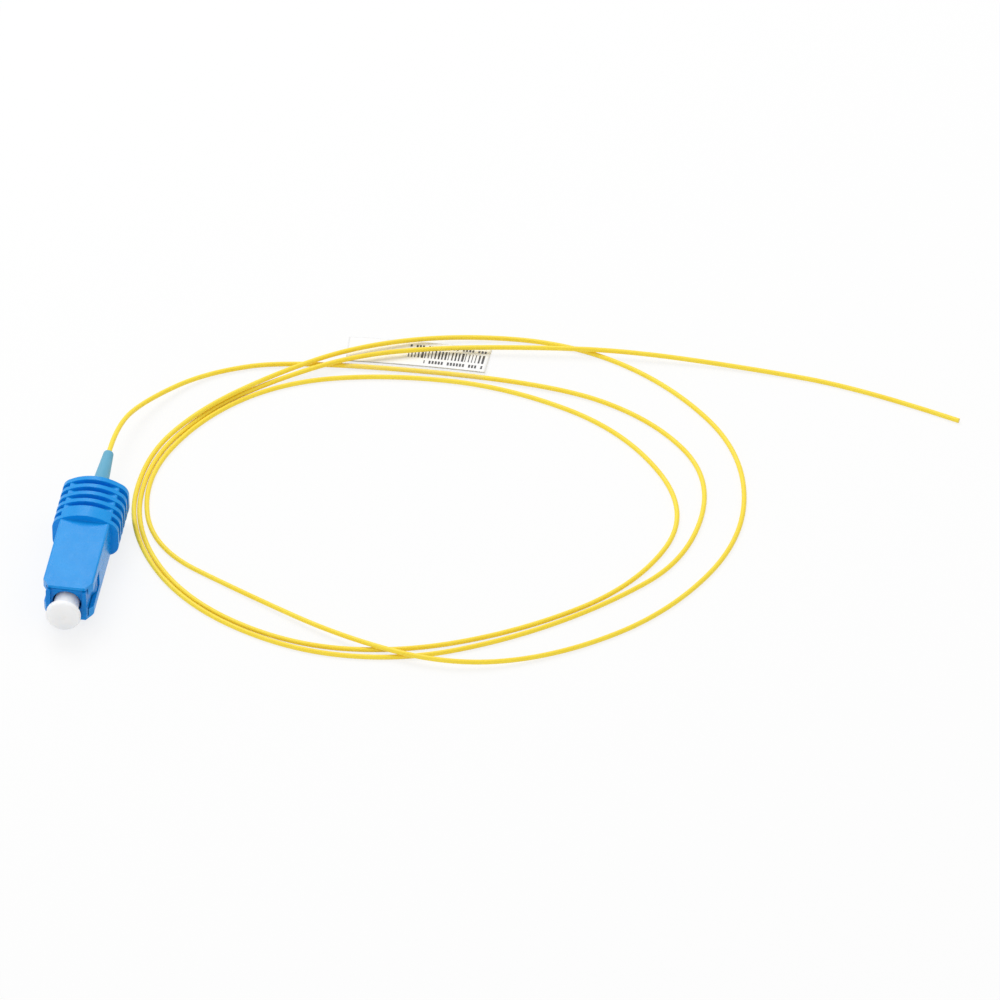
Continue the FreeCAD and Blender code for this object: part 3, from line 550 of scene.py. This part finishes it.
def make_cut_end(rings=22):
    """Profile: a straight side from CUT_DEPTH inside, then height dome * (1 - share ** 4) to the middle."""
    share = np.linspace(1, 0, rings)
    dome = np.stack([CUT_DOME * (1 - share ** 4), CUT_R * share], 1)
    profile = np.vstack([[(-CUT_DEPTH, 0), (-CUT_DEPTH, CUT_R)], dome])
    out = route[-1] - route[-2]
    end = turned_piece("cut_fibre_end", profile, route[-1], out, sides=48)
    place = np.empty(len(end.data.vertices) * 3, np.float32)
    end.data.vertices.foreach_get("co", place)
    off_axis = np.linalg.norm(np.cross(place.reshape(-1, 3) - route[-1], out / np.linalg.norm(out)), axis=1)
    rings_of = end.data.attributes.new("off_axis", "FLOAT", "POINT")
    rings_of.data.foreach_set("value", (off_axis / CUT_R).astype(np.float32))
    return end


cut_end = make_cut_end()
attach(cut_end, "plug")

# %% [markdown]
# ## Wiring materials
# Every finish is a small tree of nodes. It could be wired by hand in the Shader Editor, but a helper that
# adds one node at a time can be read from top to bottom: an input that is itself a socket gets linked,
# and anything else becomes the input's own value.

# %% Node helpers
BUMP_DEPTH = 0.02 * MM


def fill_inputs(tree, node, inputs):
    """Links an input that is given a socket, and sets any other input to the value given."""
    for name, value in inputs.items():
        socket = node.inputs[name]
        if isinstance(value, bpy.types.NodeSocket):
            tree.links.new(value, socket)
        else:
            socket.default_value = value
    return node


def add_node(tree, kind, inputs=None, **options):
    """Adds a node, sets its options, and then its inputs by name or number."""
    node = tree.nodes.new(kind)
    for option, value in options.items():
        setattr(node, option, value)
    return fill_inputs(tree, node, inputs or {})


def calculate(tree, operation, first, second=0.0):
    """One step of arithmetic; gives back its result."""
    return add_node(tree, "ShaderNodeMath", {0: first, 1: second}, operation=operation).outputs[0]


def between(tree, value, low, high, from_low=0.3, from_high=0.7):
    """Stretches a noise's middle range to the range from low to high."""
    stretched = add_node(tree, "ShaderNodeMapRange", {
        "Value": value, "From Min": from_low, "From Max": from_high, "To Min": low, "To Max": high})
    return stretched.outputs[0]


def blend_colours(tree, share, low, high):
    """Mixes two colours by a share; each is a socket or three numbers."""
    low = low if isinstance(low, bpy.types.NodeSocket) else (*low, 1.0)
    high = high if isinstance(high, bpy.types.NodeSocket) else (*high, 1.0)
    mix = add_node(tree, "ShaderNodeMix", data_type="RGBA")
    return fill_inputs(tree, mix, {"Factor": share, "A": low, "B": high}).outputs["Result"]


def bump_normal(tree, height, strength):
    """Bends the light as if the skin rose and fell by BUMP_DEPTH where the height does."""
    bump = add_node(tree, "ShaderNodeBump", {
        "Height": height, "Strength": strength, "Distance": BUMP_DEPTH})
    return bump.outputs["Normal"]


print("node helpers ready")

# %% [markdown]
# ## Groups and materials
# An effect that several finishes share is a node group: it is built once, and each material places it
# with its own values. Copying the nodes into each material would work too, but then a change has to be
# made many times.

# %% Group helpers


def new_group(name, inputs, outputs):
    """A node group with one vector input, float inputs with their defaults, and float outputs."""
    group = bpy.data.node_groups.new(name, "ShaderNodeTree")
    group.interface.new_socket("Vector", in_out="INPUT", socket_type="NodeSocketVector")
    for label, value in inputs.items():
        socket = group.interface.new_socket(label, in_out="INPUT", socket_type="NodeSocketFloat")
        socket.default_value = value
    for label in outputs:
        group.interface.new_socket(label, in_out="OUTPUT", socket_type="NodeSocketFloat")
    return group, add_node(group, "NodeGroupInput").outputs, add_node(group, "NodeGroupOutput")


def place_group(tree, group, inputs):
    """Places a node group in a material, with its own values."""
    node = tree.nodes.new("ShaderNodeGroup")
    node.node_tree = group
    return fill_inputs(tree, node, inputs).outputs


def new_material(name):
    """A material with an empty Principled shader; gives back its tree, shader and object coordinates."""
    material = bpy.data.materials.new(name)
    material.use_nodes = True
    tree = material.node_tree
    place = add_node(tree, "ShaderNodeTexCoord").outputs["Object"]
    print("finish:", name)
    return material, tree, tree.nodes["Principled BSDF"], place


print("group helpers ready")

# %% [markdown]
# ## The skin of a moulding
# Moulded plastic is never quite even. The melt leaves broad soft streaks of tone along the way it flowed,
# and the polished steel of the mould leaves a fine grain. A photograph of such a skin could be wrapped
# round the part, but noise in space needs no unwrapping and has no seams.

# %% Moulded skin group


def stretch_along(tree, place, factor):
    """Multiplies the Y part of a place by a factor, which draws a noise out or packs it along Y."""
    factors = add_node(tree, "ShaderNodeCombineXYZ", {0: 1.0, 1: factor, 2: 1.0}).outputs[0]
    return add_node(tree, "ShaderNodeVectorMath", {0: place, 1: factors}, operation="MULTIPLY").outputs[0]


def build_moulded_skin():
    """Tone is broad streaks along Y, Gloss a finer mottling, Height the grain with a little of it."""
    inputs = {"Flow Scale": 250.0, "Flow Length": 0.4, "Grain Scale": 9000.0}
    group, given, out = new_group("moulded_skin", inputs, ["Tone", "Gloss", "Height"])
    flow = add_node(group, "ShaderNodeTexNoise", {
        "Vector": stretch_along(group, given["Vector"], given["Flow Length"]), "Scale": given["Flow Scale"],
        "Detail": 3.0, "Distortion": 0.8})
    finer = calculate(group, "MULTIPLY", given["Flow Scale"], 5.0)
    mottle = add_node(group, "ShaderNodeTexNoise", {
        "Vector": given["Vector"], "Scale": finer, "Detail": 2.0})
    grain = add_node(group, "ShaderNodeTexNoise", {
        "Vector": given["Vector"], "Scale": given["Grain Scale"], "Detail": 1.0})
    soft = calculate(group, "MULTIPLY", mottle.outputs["Fac"], 0.2)
    fill_inputs(group, out, {
        "Tone": flow.outputs["Fac"], "Gloss": mottle.outputs["Fac"],
        "Height": calculate(group, "ADD", grain.outputs["Fac"], soft)})
    return group


moulded_skin = build_moulded_skin()
print("group:", moulded_skin.name, len(moulded_skin.nodes), "nodes")

# %% [markdown]
# ## Hair scratches
# Connectors are handled, and satin plastic shows it as short pale hairs. They could be drawn as thin
# curves, but there are hundreds. A noise that is stretched one way has long thin level lines, so a mask
# that is open only where the noise is near its middle value gives hairs, and a broader noise keeps them
# to a few patches.

# %% Hair scratch group


def build_hair_scratches():
    """Mask is one where a stretched noise is within Width of its middle value, times a patch noise."""
    inputs = {"Scale": 500.0, "Stretch": 12.0, "Width": 0.012}
    group, given, out = new_group("hair_scratches", inputs, ["Mask"])
    turned = add_node(group, "ShaderNodeVectorRotate", {
        "Vector": given["Vector"], "Axis": (0.0, 0.0, 1.0), "Angle": 0.9}, rotation_type="AXIS_ANGLE")
    hairs = add_node(group, "ShaderNodeTexNoise", {
        "Vector": stretch_along(group, turned.outputs[0], given["Stretch"]), "Scale": given["Scale"],
        "Detail": 4.0, "Roughness": 0.7})
    off_middle = calculate(group, "ABSOLUTE", calculate(group, "SUBTRACT", hairs.outputs["Fac"], 0.5))
    thin = between(group, off_middle, 1.0, 0.0, 0.0, given["Width"])
    patches = add_node(group, "ShaderNodeTexNoise", {
        "Vector": given["Vector"], "Scale": given["Scale"], "Detail": 1.0})
    few = between(group, patches.outputs["Fac"], 0.0, 1.0, 0.56, 0.68)
    fill_inputs(group, out, {"Mask": calculate(group, "MULTIPLY", thin, few)})
    return group


hair_scratches = build_hair_scratches()
print("group:", hair_scratches.name, len(hair_scratches.nodes), "nodes")

# %% [markdown]
# ## Parting line
# Where the two halves of a mould meet, a hair-thin ridge of plastic runs round the moulding. It is far too
# thin to model, so it is a mask for the bump: one at the height of the mould's parting plane, falling to
# nothing within a few hundredths of a millimetre.

# %% Parting line group


def build_parting_line():
    """Mask is one minus the distance from a level, measured in Widths."""
    group, given, out = new_group("parting_line", {"Level": 0.0, "Width": 0.00005}, ["Mask"])
    height = add_node(group, "ShaderNodeSeparateXYZ", {0: given["Vector"]}).outputs["Z"]
    distance = calculate(group, "ABSOLUTE", calculate(group, "SUBTRACT", height, given["Level"]))
    fill_inputs(group, out, {"Mask": between(group, distance, 1.0, 0.0, 0.0, given["Width"])})
    return group


parting_line = build_parting_line()
print("group:", parting_line.name, len(parting_line.nodes), "nodes")

# %% [markdown]
# ## Tool rings
# Turned metal has fine rings left by the cutting tool. They could be cut into the mesh, but they are
# thinner than a hair. A noise that only knows the place along the connector's axis is the same all the
# way round, which is what a ring is.

# %% Tool ring group


def build_tool_rings():
    """Height is a fine noise along the axis only, Tone a coarse one, as a lathe tool leaves them."""
    group, given, out = new_group("tool_rings", {"Pitch Scale": 6000.0}, ["Tone", "Height"])
    parts = add_node(group, "ShaderNodeSeparateXYZ", {0: given["Vector"]})
    along = add_node(group, "ShaderNodeCombineXYZ", {0: 0.0, 1: parts.outputs["Y"], 2: 0.0}).outputs[0]
    fine = add_node(group, "ShaderNodeTexNoise", {
        "Vector": along, "Scale": given["Pitch Scale"], "Detail": 2.0})
    wide = calculate(group, "MULTIPLY", given["Pitch Scale"], 0.2)
    coarse = add_node(group, "ShaderNodeTexNoise", {"Vector": along, "Scale": wide, "Detail": 1.0})
    fill_inputs(group, out, {"Tone": coarse.outputs["Fac"], "Height": fine.outputs["Fac"]})
    return group


tool_rings = build_tool_rings()
print("group:", tool_rings.name, len(tool_rings.nodes), "nodes")

# %% [markdown]
# ## Moulded plastics
# Sleeve, plug frame, boot, dust cap and the fibre's buffer are all moulded or extruded plastics. They
# differ in colour, in how much the tone wanders, in gloss and in how easily they scratch. Five separate
# trees would hide that, so one function builds them all from those few values.

# %% Plastic builder
PLASTIC_IOR = 1.49
SCUFF_WHITE = 0.2
SOFT_LIGHT_REACH = 1.6 * MM
SOFT_LIGHT_TINT = (1.0, 0.95, 0.9)


def plastic(name, low_tone, high_tone, gloss, flow_scale, scratch, flash=0.0, shine=0.3, soft_light=0.0):
    """Colour wanders between two tones, roughness between two values, and the skin has grain and a seam."""
    material, tree, shader, place = new_material(name)
    skin = place_group(tree, moulded_skin, {"Vector": place, "Flow Scale": flow_scale})
    marks = place_group(tree, hair_scratches, {"Vector": place})
    seam = place_group(tree, parting_line, {"Vector": place, "Level": AXIS_Z})
    worn = calculate(tree, "MULTIPLY", marks["Mask"], scratch)
    colour = blend_colours(tree, between(tree, skin["Tone"], 0.0, 1.0), low_tone, high_tone)
    scuffed = [min(1.0, SCUFF_WHITE + (1 - SCUFF_WHITE) * c) for c in high_tone]
    height = calculate(tree, "ADD", skin["Height"], calculate(tree, "MULTIPLY", seam["Mask"], flash))
    normal = bump_normal(tree, height, 0.3)
    fill_inputs(tree, shader, {
        "Base Color": blend_colours(tree, worn, colour, scuffed),
        "Roughness": calculate(tree, "ADD", between(tree, skin["Gloss"], *gloss), worn),
        "Normal": normal, "IOR": PLASTIC_IOR, "Specular IOR Level": shine,
        "Subsurface Weight": soft_light, "Subsurface Radius": SOFT_LIGHT_TINT,
        "Subsurface Scale": SOFT_LIGHT_REACH})
    return material


print("plastic builder ready")

# %% [markdown]
# ## Blue sleeve and plug
# The blue of a single-mode connector is a clean sky blue, satin on the sleeve that fingers grip and a
# touch glossier on the plug inside. The plug's blue is darker, partly its own deeper blue and partly
# painted shade for the recess in the sleeve that its front sits in. Sleeve and plug share a colour
# family but come from two moulds, so their streaks and scratches differ.

# %% Blue finishes
sleeve_blue = plastic(
    "sleeve_blue", (0.002, 0.285, 0.765), (0.006, 0.318, 0.815), (0.22, 0.34), 220.0,
    scratch=0.14, flash=0.8, shine=0.22)
# the plug's darker tones are partly its own deeper blue and partly painted shade for its recess in the
# sleeve
frame_blue = plastic(
    "frame_blue", (0.001, 0.212, 0.645), (0.003, 0.237, 0.695), (0.22, 0.34), 260.0,
    scratch=0.07, shine=0.2)
sleeve.data.materials.append(sleeve_blue)
plug.data.materials.append(frame_blue)

# %% [markdown]
# ## Boot, cap and buffer
# The boot is a dull grey-blue elastomer, the cap a milky polyethylene that light soaks into, and the
# buffer a bright yellow extruded tube. The buffer is drawn, not moulded, so it has no parting line.

# %% Soft finishes
boot_teal = plastic(
    "boot_teal", (0.105, 0.380, 0.555), (0.135, 0.420, 0.605), (0.40, 0.54), 300.0,
    scratch=0.04, flash=0.8)
cap_white = plastic(
    "cap_white", (0.925, 0.922, 0.912), (0.955, 0.953, 0.945), (0.36, 0.50), 240.0,
    scratch=0.03, flash=0.6, soft_light=1.0)
buffer_yellow = plastic(
    "buffer_yellow", (0.985, 0.735, 0.045), (1.000, 0.780, 0.065), (0.28, 0.40), 160.0,
    scratch=0.03)
boot.data.materials.append(boot_teal)
dust_cap.data.materials.append(cap_white)
fibre.data.materials.append(buffer_yellow)

# %% [markdown]
# ## Metal inside
# A turned steel flange holds the ferrule, a drawn steel spring pushes it, and a nickel-plated stop holds
# the spring. They show when the cap is off or the part is taken to bits. All are metals with rings round
# the axis, so one function with two tones, a gloss range and a pitch makes the three.

# %% Metal finishes


def dress_node(node, material):
    """Gives its finish to a solid that stays as it is."""
    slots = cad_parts[node].data.materials
    slots.clear()
    slots.append(material)


def turned_metal(name, low_tone, high_tone, gloss, pitch_scale):
    """Metal whose tone, roughness and bump run round in rings."""
    material, tree, shader, place = new_material(name)
    rings = place_group(tree, tool_rings, {"Vector": place, "Pitch Scale": pitch_scale})
    normal = bump_normal(tree, rings["Height"], 0.15)
    fill_inputs(tree, shader, {
        "Base Color": blend_colours(tree, rings["Tone"], low_tone, high_tone),
        "Roughness": between(tree, rings["Height"], *gloss),
        "Normal": normal, "Metallic": 1.0})
    return material


turned_steel = turned_metal("turned_steel", (0.50, 0.50, 0.49), (0.64, 0.64, 0.62), (0.22, 0.36), 6000.0)
nickel_plate = turned_metal("nickel_plate", (0.58, 0.56, 0.50), (0.70, 0.68, 0.61), (0.16, 0.30), 5000.0)
spring_wire = turned_metal("spring_wire", (0.40, 0.40, 0.40), (0.52, 0.52, 0.51), (0.25, 0.40), 9000.0)
dress_node("ferrule_flange", turned_steel)
dress_node("spring_stop", nickel_plate)
spring.data.materials.append(spring_wire)
dress_node("inner_fibre", buffer_yellow)

# %% [markdown]
# ## Ceramic and glass
# The ferrule is polished zirconia: dense, very white and with a strong reflection, hence its high
# refractive index. The glass in its bore is solid, so light is bent in it. The film round the fibre is far
# too thin for that: it is a faint white haze with a little gloss, so it is mostly see-through instead of
# refracting, and its haze wanders.

# %% Ceramic, glass and clear film


def polished_ceramic():
    """White ceramic: very even, glossy, with a trace of warm tone."""
    material, tree, shader, place = new_material("polished_ceramic")
    skin = place_group(tree, moulded_skin, {"Vector": place, "Flow Scale": 500.0, "Grain Scale": 16000.0})
    fill_inputs(tree, shader, {
        "Base Color": blend_colours(tree, skin["Tone"], (0.86, 0.85, 0.82), (0.90, 0.90, 0.88)),
        "Roughness": between(tree, skin["Gloss"], 0.08, 0.16), "IOR": 2.1})
    return material


def bare_glass():
    """Light passes through; only the roughness changes, in faint streaks."""
    material, tree, shader, place = new_material("bare_glass")
    streaks = add_node(tree, "ShaderNodeTexNoise", {"Vector": place, "Scale": 3000.0, "Detail": 1.0})
    fill_inputs(tree, shader, {
        "Base Color": (0.95, 0.98, 0.98, 1.0), "Transmission Weight": 1.0, "IOR": 1.46,
        "Roughness": between(tree, streaks.outputs["Fac"], 0.02, 0.08)})
    return material


def clear_film():
    """Mostly see-through: the share of haze and its roughness follow the same soft patches."""
    material, tree, shader, place = new_material("clear_film")
    skin = place_group(tree, moulded_skin, {"Vector": place, "Flow Scale": 400.0, "Grain Scale": 12000.0})
    fill_inputs(tree, shader, {
        "Base Color": (0.96, 0.97, 0.97, 1.0), "Alpha": between(tree, skin["Tone"], 0.02, 0.06),
        "Roughness": between(tree, skin["Gloss"], 0.08, 0.2), "IOR": 1.46})
    return material


dress_node("ferrule", polished_ceramic())
dress_node("glass_fibre", bare_glass())
wrap.data.materials.append(clear_film())

# %% [markdown]
# ## Label print
# A white label carries print. Here it says nothing: two rows of short dashes and a band of plain stripes
# stand where a label would be printed. An image could hold it, but the film has its own coordinates, so a
# cell number along the fibre, a random value for each cell and a few tests on the place across are
# enough.

# %% Label finish


def inside(tree, value, low, high):
    """One where a value lies between two limits, otherwise nothing."""
    above = calculate(tree, "GREATER_THAN", value, low)
    below = calculate(tree, "LESS_THAN", value, high)
    return calculate(tree, "MULTIPLY", above, below)


def random_cells(tree, value, count, seed):
    """Divides a value into cells; gives a random number for each cell and how far along it a place is."""
    scaled = calculate(tree, "MULTIPLY", value, count)
    cell = calculate(tree, "ADD", calculate(tree, "FLOOR", scaled), seed)
    chance = add_node(tree, "ShaderNodeTexWhiteNoise", {"W": cell}, noise_dimensions="1D").outputs["Value"]
    return chance, calculate(tree, "FRACT", scaled)


def stripe_marks(tree, along, count, seed):
    """One stripe in each cell, of a random width."""
    chance, part = random_cells(tree, along, count, seed)
    return calculate(tree, "LESS_THAN", part, between(tree, chance, 0.2, 0.75, 0.0, 1.0))


def dash_marks(tree, along, count, seed):
    """Short dashes: most cells, without the last third of each cell."""
    chance, part = random_cells(tree, along, count, seed)
    chosen = calculate(tree, "LESS_THAN", chance, 0.74)
    return calculate(tree, "MULTIPLY", chosen, calculate(tree, "LESS_THAN", part, 0.66))


def printed_row(tree, marks, parts, ends, limits):
    """Keeps marks only between two places along the label and two across it."""
    field = calculate(tree, "MULTIPLY", inside(tree, parts["X"], *ends), inside(tree, parts["Y"], *limits))
    return calculate(tree, "MULTIPLY", marks, field)


def label_film():
    """White film; the print is the largest of a stripe band and two rows of dashes on the upper ply."""
    material, tree, shader, place = new_material("label_film")
    film = add_node(tree, "ShaderNodeUVMap", uv_map="film").outputs["UV"]
    parts = add_node(tree, "ShaderNodeSeparateXYZ", {0: film}).outputs
    along = parts["X"]
    stripes = printed_row(tree, stripe_marks(tree, along, 42.0, 3.0), parts, (0.43, 0.97), (0.33, 0.67))
    lower = printed_row(tree, dash_marks(tree, along, 46.0, 11.0), parts, (0.55, 0.97), (0.76, 0.89))
    upper = printed_row(tree, dash_marks(tree, along, 46.0, 29.0), parts, (0.43, 0.97), (0.14, 0.24))
    ink = calculate(tree, "MAXIMUM", stripes, calculate(tree, "MAXIMUM", lower, upper))
    skin = place_group(tree, moulded_skin, {"Vector": place, "Flow Scale": 300.0, "Grain Scale": 12000.0})
    white = blend_colours(tree, skin["Tone"], (0.92, 0.922, 0.926), (0.95, 0.95, 0.95))
    fill_inputs(tree, shader, {
        "Base Color": blend_colours(tree, ink, white, (0.06, 0.06, 0.065)),
        "Roughness": between(tree, skin["Gloss"], 0.25, 0.4)})
    return material


flag.data.materials.append(label_film())

# %% [markdown]
# ## The cut face
# In the middle of the cut is the glass, painted dark: painted shade for clear glass seen end on, where
# the dark length of the fibre shows through. Then comes a soft pale coating, then the yellow buffer. The
# rings could be separate discs, but at this size one colour ramp over the distance from the middle does
# it, with a torn grain from the blade.

# %% Cut face finish
# the dark first stop is painted shade: clear glass seen end on looks dark, so it is given a dark colour
CUT_RINGS = [
    (0.0, (0.10, 0.12, 0.13)), (0.10, (0.62, 0.68, 0.68)), (0.15, (0.62, 0.68, 0.68)),
    (0.17, (0.86, 0.84, 0.78)), (0.28, (0.86, 0.84, 0.78)), (0.32, (0.88, 0.62, 0.030)),
    (1.0, (0.98, 0.74, 0.045)),
]


def cut_section():
    """Rings by distance from the middle: painted-shade dark core, clear glass, soft coating, yellow buffer.
    """
    material, tree, shader, place = new_material("cut_section")
    ring = add_node(tree, "ShaderNodeAttribute", attribute_name="off_axis")
    ramp = add_node(tree, "ShaderNodeValToRGB", {"Fac": ring.outputs["Fac"]})
    stops = ramp.color_ramp.elements
    stops[0].color = (*CUT_RINGS[0][1], 1.0)
    stops[1].color = (*CUT_RINGS[-1][1], 1.0)
    for position, colour in CUT_RINGS[1:-1]:
        stops.new(position).color = (*colour, 1.0)
    grain = add_node(tree, "ShaderNodeTexNoise", {"Vector": place, "Scale": 14000.0, "Detail": 2.0})
    torn = grain.outputs["Fac"]
    normal = bump_normal(tree, torn, 0.3)
    fill_inputs(tree, shader, {
        "Base Color": ramp.outputs["Color"], "Roughness": between(tree, torn, 0.4, 0.65),
        "Normal": normal})
    return material


cut_end.data.materials.append(cut_section())

# %% [markdown]
# ## The studio
# The part lies on a white table in soft light, as in a catalogue. White could be had with more light, but
# then the pale cap would burn out. So the light stays at a plain level, and table and air are white only
# for rays that look at them, mirror them or pass through to them. The table keeps a share of its plain
# surface, which takes the soft shadow.

# %% White table and air
AIR_LIGHT = 0.67
TABLE_SIZE = 3.0
TABLE_WHITE = 0.8
PAPER = (0.93, 0.93, 0.93, 1.0)
WHITE = (1.0, 1.0, 1.0, 1.0)


def seen_directly(tree):
    """One for rays that look at, mirror or pass through to the backdrop, none for light it sheds."""
    rays = add_node(tree, "ShaderNodeLightPath").outputs
    looked_at = calculate(tree, "MAXIMUM", rays["Is Camera Ray"], rays["Is Glossy Ray"])
    return calculate(tree, "MAXIMUM", looked_at, rays["Is Transmission Ray"])


def white_table():
    """A plane whose own light makes it white, and whose diffuse share still takes shadows."""
    half = TABLE_SIZE / 2
    mesh = bpy.data.meshes.new("table")
    corners = [(-half, -half, 0), (half, -half, 0), (half, half, 0), (-half, half, 0)]
    mesh.from_pydata(corners, [], [(0, 1, 2, 3)])
    material = bpy.data.materials.new("white_table")
    material.use_nodes = True
    tree = material.node_tree
    tree.nodes.clear()
    paper = add_node(tree, "ShaderNodeBsdfDiffuse", {"Color": PAPER}).outputs[0]
    glow = add_node(tree, "ShaderNodeEmission", {"Color": WHITE, "Strength": 1.0}).outputs[0]
    share = calculate(tree, "MULTIPLY", seen_directly(tree), TABLE_WHITE)
    both = add_node(tree, "ShaderNodeMixShader", {0: share, 1: paper, 2: glow}).outputs[0]
    add_node(tree, "ShaderNodeOutputMaterial", {"Surface": both})
    mesh.materials.append(material)
    table = bpy.data.objects.new("table", mesh)
    bpy.context.scene.collection.objects.link(table)


def white_air():
    """The world: white when looked at, dimmer as a light."""
    world = bpy.data.worlds.new("air")
    bpy.context.scene.world = world
    world.use_nodes = True
    tree = world.node_tree
    tree.nodes.clear()
    dim = add_node(tree, "ShaderNodeBackground", {"Color": WHITE, "Strength": AIR_LIGHT})
    white = add_node(tree, "ShaderNodeBackground", {"Color": WHITE, "Strength": 1.0})
    both = add_node(tree, "ShaderNodeMixShader", {
        0: seen_directly(tree), 1: dim.outputs[0], 2: white.outputs[0]})
    add_node(tree, "ShaderNodeOutputWorld", {"Surface": both.outputs[0]})


white_table()
white_air()
print("air light", AIR_LIGHT, "table", TABLE_SIZE, "m")

# %% [markdown]
# ## Lamps
# Light from the air alone has no direction, and the ribs would look flat. One broad lamp above and behind
# the part lights the tops of the ribs and leaves their fronts in soft shade. A weak one, low in front,
# lifts the face of the white cap. Bare points would throw hard shadows, so both lamps are large squares.

# %% Lamps


def soft_lamp(name, place, size, power):
    """A square area lamp that faces the middle of the object."""
    data = bpy.data.lights.new(name, "AREA")
    data.shape = "SQUARE"
    data.size = size
    data.energy = power
    lamp = bpy.data.objects.new(name, data)
    lamp.location = place
    lamp.rotation_euler = (VIEW_MIDDLE - Vector(place)).to_track_quat("-Z", "Y").to_euler()
    bpy.context.scene.collection.objects.link(lamp)
    print(name, "%.1f W" % power)


soft_lamp("main_lamp", (-0.25, 0.55, 0.95), 0.7, 5.8)
soft_lamp("front_lamp", (-0.15, -1.0, 0.17), 0.3, 0.9)
